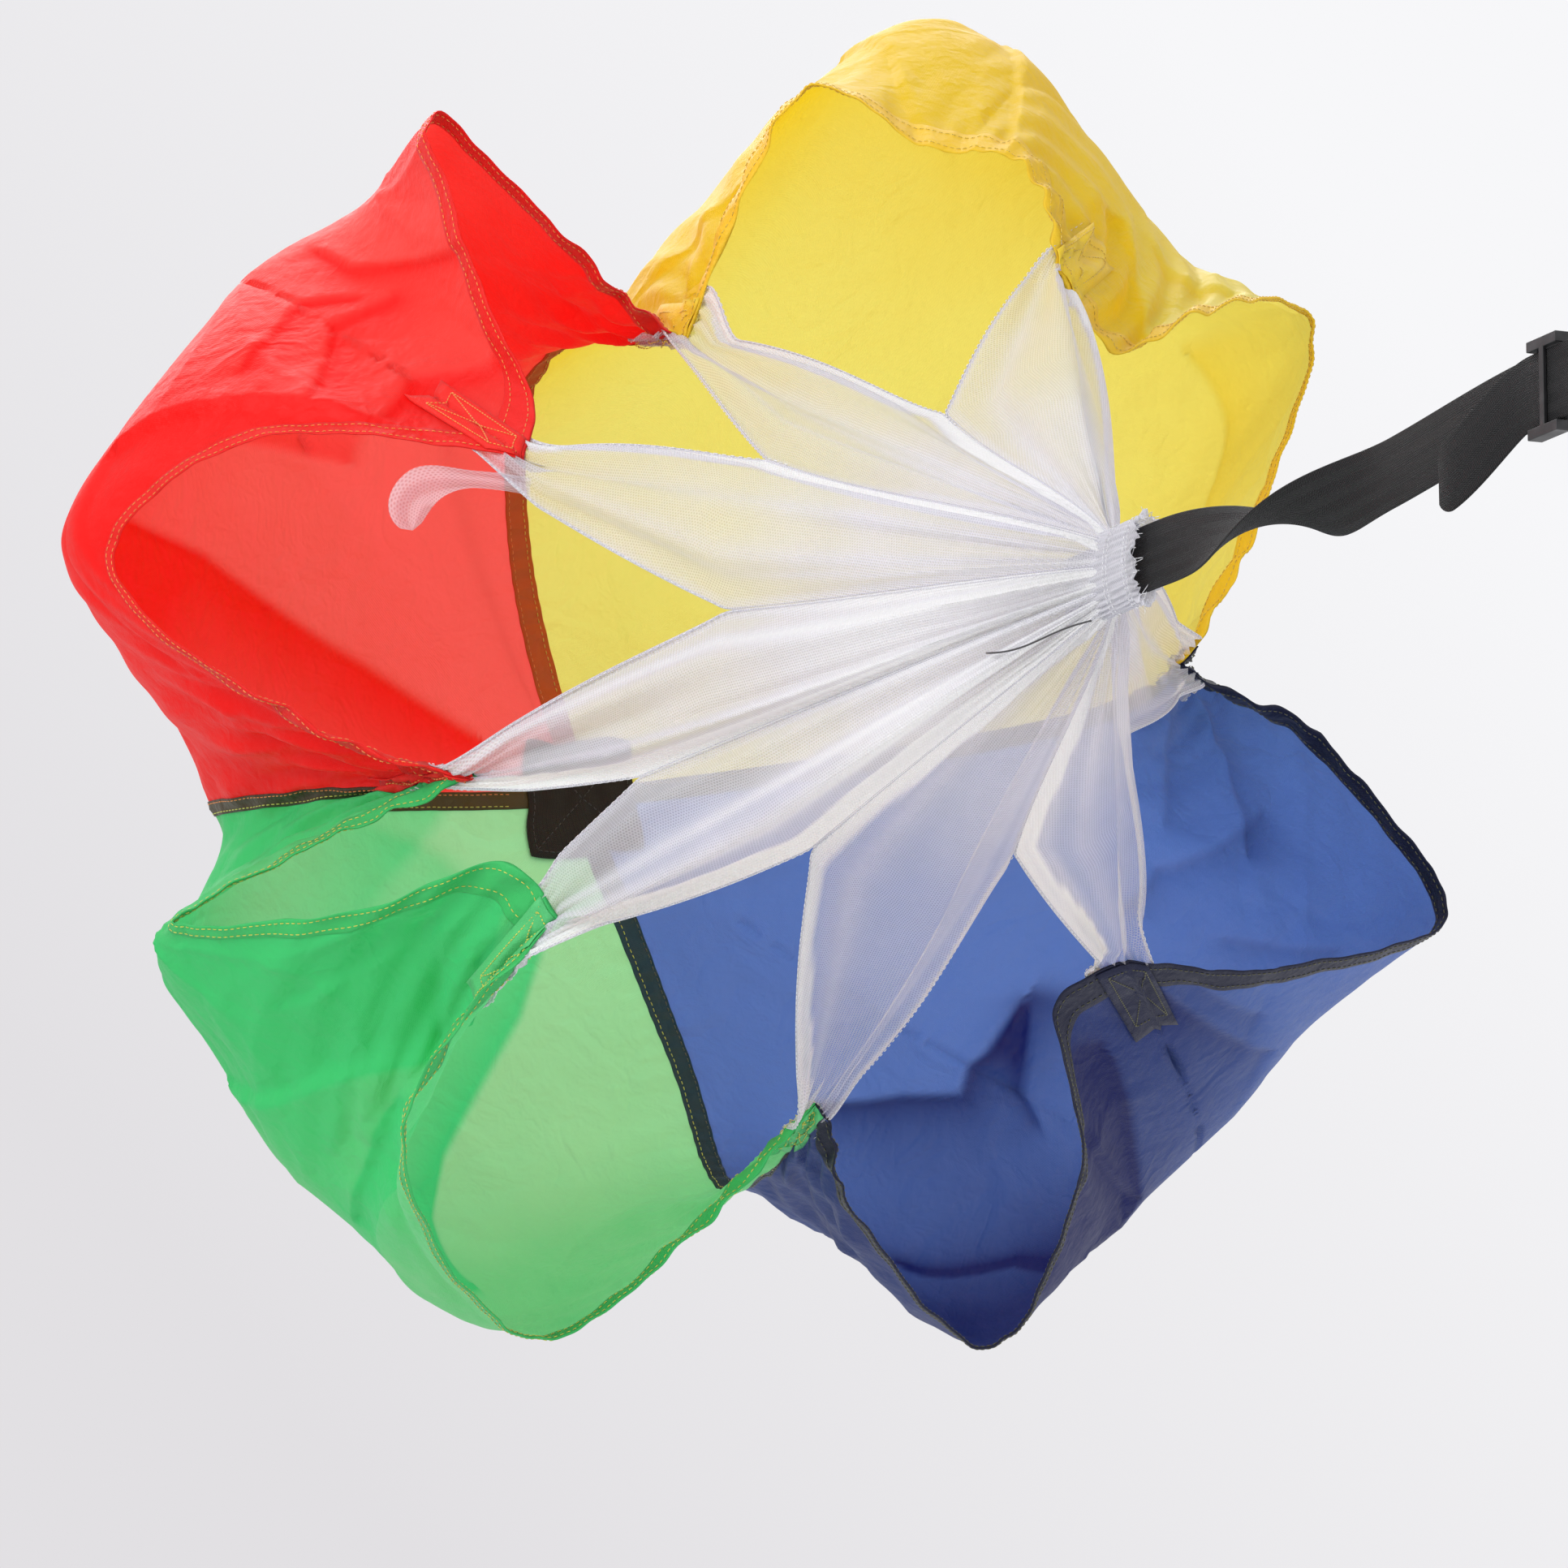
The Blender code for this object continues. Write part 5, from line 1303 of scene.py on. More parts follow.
def make_net():
    """The eight tongues, and what lies loose on two of them."""
    for tab, letter in enumerate(TAB_LETTERS):
        tongue, tapes, length, points = make_tongue(tab, letter)
        if letter == "b":
            tapes.append(make_loose_end())
        if letter == "c":
            tapes.append(make_stray_thread())


def flat_section(width, thickness, steps=6):
    """A flat strip's section with rounded edges, as (wide, thick) pairs going round."""
    half, deep = width / 2, thickness / 2
    reach = min(deep, half)
    points = []
    for side in (1, -1):
        for turn in np.linspace(-math.pi / 2, math.pi / 2, steps):
            across = half - reach + reach * math.cos(turn)
            points.append((side * across, side * deep * math.sin(turn)))
    return np.array(points)


def sweep(name, centres, wide, thick, section, look, body, closed=False, scale=None):
    """A section carried along a path with given directions for its width and thickness.
    The UV measures are metres round the section and along the path."""
    centres, wide, thick = (np.asarray(part, float) for part in (centres, wide, thick))
    section = np.asarray(section, float)
    rows, columns = len(centres), len(section)
    size = np.ones(rows) if scale is None else np.asarray(scale, float)
    offsets = section[None, :, :1] * size[:, None, None] * wide[:, None, :]
    offsets = offsets + section[None, :, 1:] * thick[:, None, :]
    points = centres[:, None, :] + offsets
    uvs = np.zeros((rows, columns, 2))
    uvs[..., 0] = section[None, :, 0] * size[:, None]
    uvs[..., 1] = measured(centres)[:, None]
    return add_mesh(name, points, tube_faces(rows, columns, closed), look, body, uvs)


SLEEVE_PUCKERS = 26
SLEEVE_PUCKER_HEIGHT = 0.0009
# How far the sleeve reaches past the part's collar at each end, how deep its two sewn rings are
# drawn in, how thick its end is, and how far that end flares and waves.
SLEEVE_BEFORE, SLEEVE_AFTER = 0.010, 0.004
SLEEVE_SEWN_DEPTH = 0.0006
SLEEVE_LIP = 0.0012
SLEEVE_FLARE = 0.0016
SLEEVE_WAVE = 0.0016
SLEEVE_LOW_ROWS = np.array([0.009, 0.013])
SLEEVE_HIGH_ROWS = np.array([-0.010, -0.006])
SLEEVE_COLUMNS = 208
SLEEVE_DENSITY = 0.25
FRAY_COUNT = 90


def sleeve_rows(low, high, grow, turns):
    """The sleeve's rows of points with their UV measures, from the net to its frayed end."""
    rows, measures = [], []
    end = high + SLEEVE_AFTER
    stations = np.concatenate([np.linspace(low - SLEEVE_BEFORE, end, 42), [end]])
    for number, x in enumerate(stations):
        share = (x - low) / (high - low)
        sewn = np.exp(-((share - 0.25) / 0.08) ** 2) + np.exp(-((share - 0.8) / 0.08) ** 2)
        inside = SLEEVE_LIP if number == len(stations) - 1 else 0.0
        phase = 2 * np.sin(3 * turns) + 3 * share
        pucker = SLEEVE_PUCKER_HEIGHT * np.sin(SLEEVE_PUCKERS * turns + phase)
        flare = SLEEVE_FLARE * ease((share - 0.85) / 0.2) * (1 + np.sin(9 * turns))
        reach = grow - SLEEVE_SEWN_DEPTH * sewn - inside + pucker * (1 - 0.6 * sewn) + flare
        wave = SLEEVE_WAVE * np.sin(7 * turns + 1) * ease((share - 0.7) / 0.3)
        rows.append(round_neck(x + wave, reach, turns))
        around = turns * NECK_HALF_HEIGHT * 0.7
        measures.append(np.stack([around, np.full(len(turns), x - low)], axis=-1))
    return np.array(rows), np.array(measures)


def make_fray(high, grow):
    """Loose ends of thread round the mouth of the sleeve."""
    turn = RANDOM.uniform(0, 2 * math.pi, FRAY_COUNT)
    start = round_neck(high + 0.001, grow + RANDOM.uniform(0.0, 0.001, FRAY_COUNT), turn)
    lean = RANDOM.normal(0, 0.35, (FRAY_COUNT, 3)) + np.array([1.0, 0.0, 0.0])
    end = start + unit(lean) * RANDOM.uniform(0.003, 0.010, FRAY_COUNT)[:, None]
    facing = unit(RANDOM.normal(0, 1, (FRAY_COUNT, 3)))
    rows = [(start, end, facing)]
    return add_threads("sleeve_fray", rows, THREAD["white"], "chute", FRAYED_THREAD_R)


def make_sleeve():
    """The doubled net sleeve, puckered where it is sewn tight round the strap, and its fray."""
    low, high = COLLAR_LOW[0], COLLAR_HIGH[0]
    grow = (COLLAR_HIGH[2] - COLLAR_LOW[2]) / 2 - NECK_HALF_HEIGHT
    turns = np.linspace(0, 2 * math.pi, SLEEVE_COLUMNS, endpoint=False)
    points, measures = sleeve_rows(low, high, grow, turns)
    faces = grid_faces(len(points), SLEEVE_COLUMNS, closed=True)
    tone = np.full(points.shape[:2], SLEEVE_DENSITY)
    sleeve = add_mesh("net_sleeve", points, faces, SLEEVE, "chute", measures, tone=tone)
    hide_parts("mesh_collar")
    facing = np.stack([np.zeros(SLEEVE_COLUMNS), np.cos(turns), np.sin(turns)], axis=-1)
    rows = [
        row_of_stitches(round_neck(x, grow + 0.001, turns), facing, SLEEVE_STITCH)
        for x in (*(low + SLEEVE_LOW_ROWS), *(high + SLEEVE_HIGH_ROWS))
    ]
    stitches = add_threads("sleeve_stitches", rows, THREAD["white"], "chute")
    fray = make_fray(high, grow)


# ---------------------------------------------------------------------------------------
# The tow strap and its fittings, on the part's own lines.

WEBBING_WIDTH = 0.038
WEBBING_T = 0.0015
TOW_LENGTH = 0.720
STRAP_TONGUE = 0.058
LOOP_WIDTH = 0.020
LOOP_TAPER = 0.030
DOUBLED_LENGTH = 0.236
TAIL_LENGTH = 0.080
TAIL_DROP = 0.030
TAIL_SPREAD = 0.010
TAIL_ROUNDING = 0.55
TAIL_ROUND_SHARE = 0.12
STRAP_SAG = 0.012
TWIST_FROM_COLLAR = 0.180
TWIST_LENGTH = 0.270
ADJUSTER_LENGTH = 0.030
RING_WIRE_D = 0.0044
RING_RADIUS = 0.024
RING_CORNER = 0.005
WELD_SWELL = 0.10
WELD_WIDTH = 0.0011
COLLAR_X = (COLLAR_LOW[0] + COLLAR_HIGH[0]) / 2
BOW_X = COLLAR_X + TOW_LENGTH
RING_X = BOW_X + RING_RADIUS
TURN_STEPS = 28
# Rows of stitches by their distances from the webbing's middle.
STRAP_ROWS = (-0.012, 0.0, 0.012)
BELT_EDGE_ROWS = (-0.0155, 0.0155)
SOCKET_ROWS = (-0.012, -0.004, 0.004, 0.012)
PLUG_ROWS = (-0.014, -0.005, 0.005, 0.014)
SOCKET_ROWS_LIFT = 0.0009
PLUG_ROWS_LIFT = 0.0010


def strap_stations():
    """Centre, roll and width of the tow strap, from inside the cone to its free tail."""
    layer = (WEBBING_T + GAP) / 2
    wire = RING_WIRE_D / 2
    leg = wire + GAP + WEBBING_T / 2
    inner = RING_RADIUS - wire
    fold_x = RING_X - math.sqrt(inner ** 2 - (LOOP_WIDTH / 2) ** 2) - wire
    collar_end = COLLAR_X + COLLAR_LENGTH / 2
    doubled = BOW_X - DOUBLED_LENGTH
    twist_start = COLLAR_X + TWIST_FROM_COLLAR - TWIST_LENGTH / 2

    def stretch(*columns):
        return np.stack(np.broadcast_arrays(*columns), axis=-1)

    x = np.linspace(collar_end - COLLAR_LENGTH - STRAP_TONGUE, collar_end, 30)
    held = stretch(x, layer, 0.0, 180.0, WEBBING_WIDTH)
    share = np.linspace(0, 1, 220)[1:]
    x = collar_end + share * (doubled - collar_end)
    sag = -STRAP_SAG * np.sin(math.pi * share) ** 2
    roll = 180.0 * (1 - ease((x - twist_start) / TWIST_LENGTH))
    twisted = stretch(x, layer, sag, roll, WEBBING_WIDTH)
    share = np.linspace(0, 1, 16)
    x = BOW_X - wire - LOOP_TAPER + share * (LOOP_TAPER - wire)
    eased = ease(share)
    width = WEBBING_WIDTH + (LOOP_WIDTH - WEBBING_WIDTH) * eased
    taper = stretch(x, layer + (leg - layer) * eased, 0.0, 0.0, width)
    turn = math.pi / 2 - np.linspace(0, math.pi, TURN_STEPS + 1)
    bow = stretch(*arc(fold_x, 0.0, leg, turn).T, 0.0, 0.0, LOOP_WIDTH)
    share = np.linspace(0, 1, 60)
    x = doubled - ADJUSTER_LENGTH / 2 - TAIL_LENGTH * share
    eased = ease(share)
    rounding = np.maximum(0.0, (share - 1 + TAIL_ROUND_SHARE) / TAIL_ROUND_SHARE)
    width = WEBBING_WIDTH * np.sqrt(1 - TAIL_ROUNDING * rounding ** 2)
    tail = stretch(x, -layer - TAIL_SPREAD * eased, -TAIL_DROP * eased, 0.0, width)
    return np.concatenate([held, twisted, taper, bow, taper[::-1] * (1, -1, 1, 1, 1), tail])


def ribbon(name, centres, widths, look, body, rolls=None):
    """Flat webbing along a path, its width upright unless it is rolled about its line."""
    centres = np.asarray(centres, float)
    rolls = np.zeros(len(centres)) if rolls is None else np.radians(rolls)
    tangent = unit(headings(centres))
    upright = np.array([0.0, 0.0, 1.0])
    upright = unit(upright - tangent * (tangent @ upright)[:, None])
    side = np.cross(tangent, upright)
    wide = upright * np.cos(rolls)[:, None] + side * np.sin(rolls)[:, None]
    thick = np.cross(tangent, wide)
    section = flat_section(WEBBING_WIDTH, WEBBING_T)
    scale = np.broadcast_to(np.asarray(widths, float) / WEBBING_WIDTH, (len(centres),))
    return sweep(name, centres, wide, thick, section, look, body, scale=scale), wide, thick


def strap_rows(centres, wide, thick, first, last, offsets, lift):
    """Rows of stitches along a length of webbing."""
    rows = []
    for offset in offsets:
        for side in (1, -1):
            facing = thick[first:last] * side
            path = centres[first:last] + wide[first:last] * offset + facing * lift
            rows.append(row_of_stitches(path, facing, WEBBING_STITCH))
    return rows


def make_strap():
    """The tow strap in one piece, sewn where its end is inside the cone."""
    stations = strap_stations()
    centres = stations[:, :3]
    strap, wide, thick = ribbon(
        "tow_webbing", centres, stations[:, 4], STRAP_WEBBING, "chute", stations[:, 3]
    )
    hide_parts("tow_strap")
    lift = WEBBING_T / 2 + THREAD_LIFT
    rows = strap_rows(centres, wide, thick, 0, 26, STRAP_ROWS, lift)
    add_threads("strap_stitches", rows, THREAD["black"], "chute")


def softened(node_name, name, look, body, width, slot_name):
    """A copy of a CAD part with its edges rounded, as moulding leaves them."""
    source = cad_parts[node_name]
    mesh = source.data.copy()
    mesh.transform(source.matrix_world)
    work = bmesh.new()
    work.from_mesh(mesh)
    bmesh.ops.remove_doubles(work, verts=work.verts, dist=1e-6)
    bmesh.ops.dissolve_limit(
        work, angle_limit=math.radians(1.5), verts=work.verts, edges=work.edges
    )
    work.to_mesh(mesh)
    work.free()
    mesh.materials.clear()
    mesh.materials.append(look)
    thing = placed(name, mesh)
    rounding = thing.modifiers.new("rounding", "BEVEL")
    rounding.width = width
    rounding.segments = 3
    rounding.limit_method = "ANGLE"
    rounding.angle_limit = math.radians(35)
    rounding.harden_normals = True
    mesh.shade_smooth()
    mesh.set_sharp_from_angle(angle=math.radians(50))
    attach(thing, body)
    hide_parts(node_name)
    return thing


def make_ring():
    """The D of round nickel wire, with a butt weld in the middle of its bar."""
    corner_z = math.sqrt((RING_RADIUS - RING_CORNER) ** 2 - RING_CORNER ** 2)
    lean = math.atan2(corner_z, -RING_CORNER)
    bar = [(RING_X, z) for z in np.linspace(-corner_z, corner_z, 24)]
    corner = arc(RING_X - RING_CORNER, corner_z, RING_CORNER, np.linspace(0, lean, 12)[1:])
    bow = arc(RING_X, 0.0, RING_RADIUS, np.linspace(lean, 2 * math.pi - lean, 90)[1:-1])
    path = np.concatenate([bar, corner, bow, corner[::-1] * (1, -1)])
    centres = np.insert(path, 1, 0.0, axis=1)
    ahead = unit(headings(centres, closed=True))
    thick = np.broadcast_to(np.array([0.0, 1.0, 0.0]), centres.shape)
    wide = np.cross(ahead, thick)
    turns = np.linspace(0, 2 * math.pi, 20, endpoint=False)
    section = arc(0.0, 0.0, RING_WIRE_D / 2, turns)
    on_bar = abs(centres[:, 0] - RING_X) < 1e-4
    weld = 1 + WELD_SWELL * np.exp(-(centres[:, 2] / WELD_WIDTH) ** 2) * on_bar
    ring = sweep("nickel_ring", centres, wide, thick, section, NICKEL, "ring", True, weld)
    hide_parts("tow_ring")


# ---------------------------------------------------------------------------------------
# The belt, with the part's own sizes.

PAD_HALF_WIDTH = 0.070
PAD_HALF_HEIGHT = 0.045
PAD_CORNER = 0.014
BINDING_WALL = 0.0040
WAIST_DEPTH = 0.215
WAIST_HALF_WIDTH = 0.155
HINGE_Y = -0.080
SOCKET_LENGTH = 0.054
PLUG_LENGTH = 0.026
BAR_LENGTH = 0.0032
WEBBING_BAR_T = 0.0032
BAR_LEAD = 0.0080
SEWN_RETURN = 0.040
KEEPER_HEIGHT = 0.020
KEEPER_HALF_LENGTH = 0.026
KEEPER_BOX = (0.0085, KEEPER_HALF_LENGTH - 0.002)
KEEPER_BOX_INSET = 0.0022
SIDE_START_SHARE = 0.30
SIDE_END_SHARE = 0.66
BEND_SHARE = 1.1
BEND_STEPS = 60
PAD_BACK_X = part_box("pad_backing")[0][0]
BELT_X = PAD_BACK_X - GAP - WEBBING_T / 2
KEEPER_X = BELT_X - WEBBING_T - GAP
BUCKLE_R = WAIST_DEPTH - BELT_X
QUILT_LINES = (-0.036, 0.0, 0.036)
QUILT_WIDTH = 0.0032
QUILT_DEPTH_SHARE = 0.75
QUILT_ROW_X = -0.0011
QUILT_ROW_INSET = 0.006
BINDING_STAND = 0.0005
BINDING_ROW_INSET = 0.0032
BINDING_ROW_LIFT = 0.0007
# The binding's edge on each face of the pad: how far it stands out, and in from the rim.
BINDING_EDGE = ((-.0001, -.0055), (.0006, -.0050), (.0003, 0.0))
BINDING_BULGE = 0.0036
PAD_CORNER_STEP = 0.003
PAD_OUTLINE_POINTS = 240
# Each face of the cushion: where its rim lies, and how far it swells from there.
CUSHION_FACES = ((-0.0016, 0.0016), (PAD_BACK_X + 0.0002, 0.0002))
CUSHION_RINGS = 45


def bent(along, out):
    """A point in the buckle's own measures: along its arc round the belt hinge, and out."""
    turn = along / BUCKLE_R
    radius = BUCKLE_R + out
    return (BELT_X + radius * math.cos(turn), HINGE_Y + radius * math.sin(turn), 0.0)


def eased_bend(start, start_way, end, end_way):
    """Points along a smooth bend between two points with given directions."""
    start, end = np.array(start, float), np.array(end, float)
    reach = np.linalg.norm(end - start) * BEND_SHARE
    ways = [np.array(way, float) * reach for way in (start_way, end_way)]
    shares = np.linspace(0, 1, BEND_STEPS)
    return [tuple(hermite(start, ways[0], end, ways[1], share, 1)) for share in shares]


def around_bar(along, way):
    """A webbing's turn round a buckle bar, from its inner leg to its outer one."""
    leg = math.hypot(BAR_LENGTH, WEBBING_BAR_T) / 2 + GAP + WEBBING_T / 2
    shares = np.array((0.33, 0.66, 1.0))
    turns = np.linspace(-math.pi / 2, math.pi / 2, TURN_STEPS + 1)
    lead = [(BAR_LEAD * share, leg) for share in shares]
    path = [(x, -out) for x, out in lead[::-1]]
    path += [(-x, out) for x, out in arc(0.0, 0.0, leg, turns)] + lead
    return [bent(along + way * x, out) for x, out in path]


def layered(path, offset):
    """The same path moved sideways in plan, for a second layer of webbing."""
    points = np.array(path)
    ahead = headings(points)
    side = unit(np.stack([ahead[:, 1], -ahead[:, 0], np.zeros(len(points))], axis=-1))
    return [tuple(p) for p in points + side * offset]


def line_between(start, end, steps):
    return [tuple(p) for p in np.linspace(np.array(start, float), np.array(end, float), steps)]


def to_buckle(start, way, turn, sewn_length, steps):
    """A bend to just short of a webbing's turn round its bar, and the straight lead to it."""
    arrival = unit(np.subtract(turn[1], turn[0]))
    joined = np.array(turn[0]) - arrival * sewn_length
    return eased_bend(start, way, joined, arrival), line_between(joined, turn[0], steps)[1:-1]


def make_left_webbing():
    """From behind the pad round the left side, round the socket's bar and back to its tail."""
    turn = around_bar(SOCKET_LENGTH - BAR_LENGTH / 2, 1)
    side_low = (SIDE_START_SHARE * WAIST_DEPTH, WAIST_HALF_WIDTH, 0.0)
    side_high = (SIDE_END_SHARE * WAIST_DEPTH, WAIST_HALF_WIDTH, 0.0)
    first = (BELT_X, HINGE_Y + WEBBING_T / 2 + GAP, 0.0)
    edge = (BELT_X, PAD_HALF_WIDTH + BINDING_WALL, 0.0)
    rounding = eased_bend(edge, (0, 1, 0), side_low, (1, 0, 0))
    front, lead = to_buckle(side_high, (1, 0, 0), turn, SEWN_RETURN / 2, 10)
    sides = line_between(side_low, side_high, 30)
    main = line_between(first, edge, 60)[:-1] + rounding + sides[1:-1] + front + lead
    second = layered((sides[:-1] + front)[::-1], WEBBING_T + GAP)
    centres = np.array(main + turn + second)
    belt, wide, thick = ribbon("waist_webbing_left", centres, WEBBING_WIDTH, BELT_WEBBING, "belt")
    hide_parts("belt_webbing_left")
    start = len(main) - len(lead) - 24
    lift = WEBBING_T / 2 + THREAD_LIFT
    rows = strap_rows(centres, wide, thick, 8, 52, BELT_EDGE_ROWS, lift)
    sewn = (start, start + 14, SOCKET_ROWS, SOCKET_ROWS_LIFT)
    rows += strap_rows(centres, wide, thick, *sewn)
    add_threads("belt_stitches_left", rows, THREAD["black"], "belt")


def make_right_webbing():
    """The half that swings open, sewn back on itself at the plug."""
    turn = around_bar(-PLUG_LENGTH + BAR_LENGTH / 2, -1)
    side = (SIDE_END_SHARE * WAIST_DEPTH / 2, -WAIST_HALF_WIDTH, 0.0)
    start = (BELT_X, HINGE_Y, 0.0)
    first = (BELT_X, HINGE_Y - WEBBING_T, 0.0)
    rounding = eased_bend(first, (0, -1, 0), side, (1, 0, 0))
    front, lead = to_buckle(side, (1, 0, 0), turn, SEWN_RETURN / 4, 8)
    main = [start] + rounding + front[1:] + lead
    doubled = [p for p in front if np.linalg.norm(np.subtract(p, front[-1])) < SEWN_RETURN]
    second = layered(doubled[::-1], -WEBBING_T - GAP)
    centres = np.array(main + turn + second)
    belt, wide, thick = ribbon(
        "waist_webbing_right", centres, WEBBING_WIDTH, BELT_WEBBING, "belt_half"
    )
    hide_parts("belt_webbing_right")
    sewn = len(main) - len(lead) - len(doubled) + 2
    last = len(main) - len(lead) - 3
    second_last = len(centres) - 2
    rows = []
    for first, end in ((sewn, last), (second_last - (last - sewn), second_last)):
        rows += strap_rows(centres, wide, thick, first, end, PLUG_ROWS, PLUG_ROWS_LIFT)
    add_threads("belt_stitches_right", rows, THREAD["black"], "belt_half")


def make_ring_keeper():
    """The short webbing that holds the ring's bar, box-stitched to the belt on each side."""
    around = RING_WIRE_D / 2 + GAP + WEBBING_T / 2
    corners = [
        (KEEPER_X, KEEPER_HALF_LENGTH), (KEEPER_X, around + 2.6 * WEBBING_T),
        (KEEPER_X - GAP, around + WEBBING_T), ((KEEPER_X + RING_X) / 2, around + GAP),
    ]
    side = line_between((*corners[0], 0), (*corners[1], 0), 24)
    side += [(*corner, 0.0) for corner in corners[2:]]
    bow = arc(RING_X, 0.0, around, np.linspace(math.pi / 2, 3 * math.pi / 2, TURN_STEPS))
    path = np.concatenate([np.array(side)[:, :2], bow, [(x, -y) for x, y, _ in side[::-1]]])
    centres = np.insert(path, 2, 0.0, axis=1)
    keeper, _, _ = ribbon("ring_webbing_keeper", centres, KEEPER_HEIGHT, BELT_WEBBING, "belt")
    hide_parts("ring_keeper")
    rows = []
    half = KEEPER_HEIGHT / 2 - KEEPER_BOX_INSET
    for side in (1, -1):
        for y, z in crossed_box(*KEEPER_BOX, -half, half, 12):
            face = np.full(len(y), KEEPER_X - WEBBING_T / 2 - THREAD_LIFT)
            row = np.stack([face, side * y, z], axis=-1)
            rows.append(flat_row(row, -1.0, KEEPER_STITCH))
    add_threads("keeper_stitches", rows, THREAD["black"], "belt")


def pad_outline(grow):
    """Points round the pad's rounded rectangle, grown or shrunk, at even steps."""
    corner = PAD_CORNER + max(grow, -PAD_CORNER_STEP)
    half_y, half_z = PAD_HALF_WIDTH + grow - corner, PAD_HALF_HEIGHT + grow - corner
    quarters = [
        arc(y * half_y, z * half_z, corner, math.pi / 2 * (quarter + np.linspace(0, 1, 17)))
        for quarter, (y, z) in enumerate(((1, 1), (-1, 1), (-1, -1), (1, -1)))
    ]
    closed = np.concatenate([*quarters, quarters[0][:1]])
    at = measured(closed)
    where = np.linspace(0, at[-1], PAD_OUTLINE_POINTS, endpoint=False)
    return np.stack([np.interp(where, at, closed[:, k]) for k in range(2)], axis=-1)


def pad_swell(y, rim):
    """How full the pad is at a place: pillows between the quilted lines, pinched at the rim."""
    channel = np.zeros_like(y)
    for line in QUILT_LINES:
        channel = np.maximum(channel, np.exp(-((y - line) / QUILT_WIDTH) ** 2))
    return (1 - rim ** 6) * (1 - QUILT_DEPTH_SHARE * channel)


def make_cushion(outline):
    """Air mesh and foam quilted to a woven backing, as one closed cushion."""
    count = len(outline)
    shares = np.linspace(0, 1, CUSHION_RINGS + 1)[1:, None]
    faces, points, slots = [], [], []
    for face, (flat_x, bulge) in enumerate(CUSHION_FACES):
        first = len(points)
        sign = 1 if face == 0 else -1
        y, z = outline[:, 0] * shares, outline[:, 1] * shares
        x = flat_x + sign * bulge * pad_swell(y, shares)
        points.append((flat_x + sign * bulge * 0.6, 0.0, 0.0))
        points += zip(x.ravel(), y.ravel(), z.ravel())
        fans = [(first, first + 1 + k, first + 1 + (k + 1) % count) for k in range(count)]
        faces += [fan if sign > 0 else fan[::-1] for fan in fans]
        quads = grid_faces(CUSHION_RINGS, count, True, first + 1)
        faces += [quad if sign < 0 else quad[::-1] for quad in quads]
        slots += [face] * (len(fans) + len(quads))
    top = 1 + (CUSHION_RINGS - 1) * count
    low = len(points) // 2 + top
    after = [(k + 1) % count for k in range(count)]
    faces += [(top + k, low + k, low + j, top + j) for k, j in enumerate(after)]
    slots += [1] * count
    uvs = np.array(points)[:, 1:]
    pad = add_mesh("pad_cushion", points, faces, [LINING, BACKING], "belt", uvs, slots)
    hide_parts("pad_lining", "pad_foam", "pad_backing")


def make_binding():
    """The tape folded round the pad's edge."""
    outer = pad_outline(BINDING_STAND)
    centres = np.array([(PAD_BACK_X / 2, y, z) for y, z in outer])
    ahead = unit(headings(centres, closed=True))
    wide = np.broadcast_to(np.array([1.0, 0.0, 0.0]), centres.shape)
    half = -PAD_BACK_X / 2
    turns = np.radians(np.linspace(-80, 80, 11))
    section = [(-half - out, inwards) for out, inwards in BINDING_EDGE]
    section += [(half * math.sin(turn), BINDING_BULGE * math.cos(turn)) for turn in turns]
    section += [(half + out, inwards) for out, inwards in BINDING_EDGE[::-1]]
    thick = np.cross(wide, ahead)
    binding = sweep("pad_tape", centres, wide, thick, section, BINDING_TAPE, "belt", closed=True)
    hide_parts("pad_binding")


def make_pad():
    """The back pad, bound with tape and stitched through along its quilted lines."""
    make_cushion(pad_outline(0.0))
    make_binding()
    inner = pad_outline(-BINDING_ROW_INSET)
    rows = [
        flat_row([(x, y, z) for y, z in inner], way, BINDING_STITCH)
        for x, way in ((BINDING_ROW_LIFT, 1.0), (PAD_BACK_X - BINDING_ROW_LIFT, -1.0))
    ]
    reach = PAD_HALF_HEIGHT - QUILT_ROW_INSET
    span = np.linspace(-reach, reach, 60)
    for y in QUILT_LINES:
        rows.append(flat_row([(QUILT_ROW_X, y, z) for z in span], 1.0, QUILT_STITCH))
    add_threads("pad_stitches", rows, THREAD["black"], "belt")


# Each fitting's node, new name, look, body, rounding of its edges and slot.
FITTINGS = (
    ("strap_adjuster", "moulded_adjuster", ACETAL, "adjuster", 0.0005, "black_plastic"),
    ("buckle_socket", "moulded_socket", ACETAL, "belt", 0.0006, "black_plastic"),
    ("buckle_plug", "moulded_plug", ACETAL, "belt_half", 0.0005, "black_plastic"),
    ("prong_upper", "moulded_prong_upper", ACETAL, "prong_up", 0.0004, "black_plastic"),
    ("prong_lower", "moulded_prong_lower", ACETAL, "prong_low", 0.0004, "black_plastic"),
    ("tail_keeper", "elastic_keeper", BINDING_TAPE, "keeper", 0.0003, "black_webbing"),
)


def make_fittings():
    """The moulded parts and the elastic keeper: the frame's shapes with rounded edges."""
    for fitting in FITTINGS:
        softened(*fitting)


# ---------------------------------------------------------------------------------------
# The stage: a pale floor, soft light and the photograph's own view.

IMAGE_PIXELS = 1932
FOCAL_PIXELS = 9500
SENSOR = 36.0
VIEW_DISTANCE = 5.0
VIEW_RIGHT, VIEW_UP = 0.132, 0.010
VIEW_BACK_WAY = (0.907, -0.385, -0.172)
VIEW_RIGHT_WAY = (0.391, 0.921, 0.0)
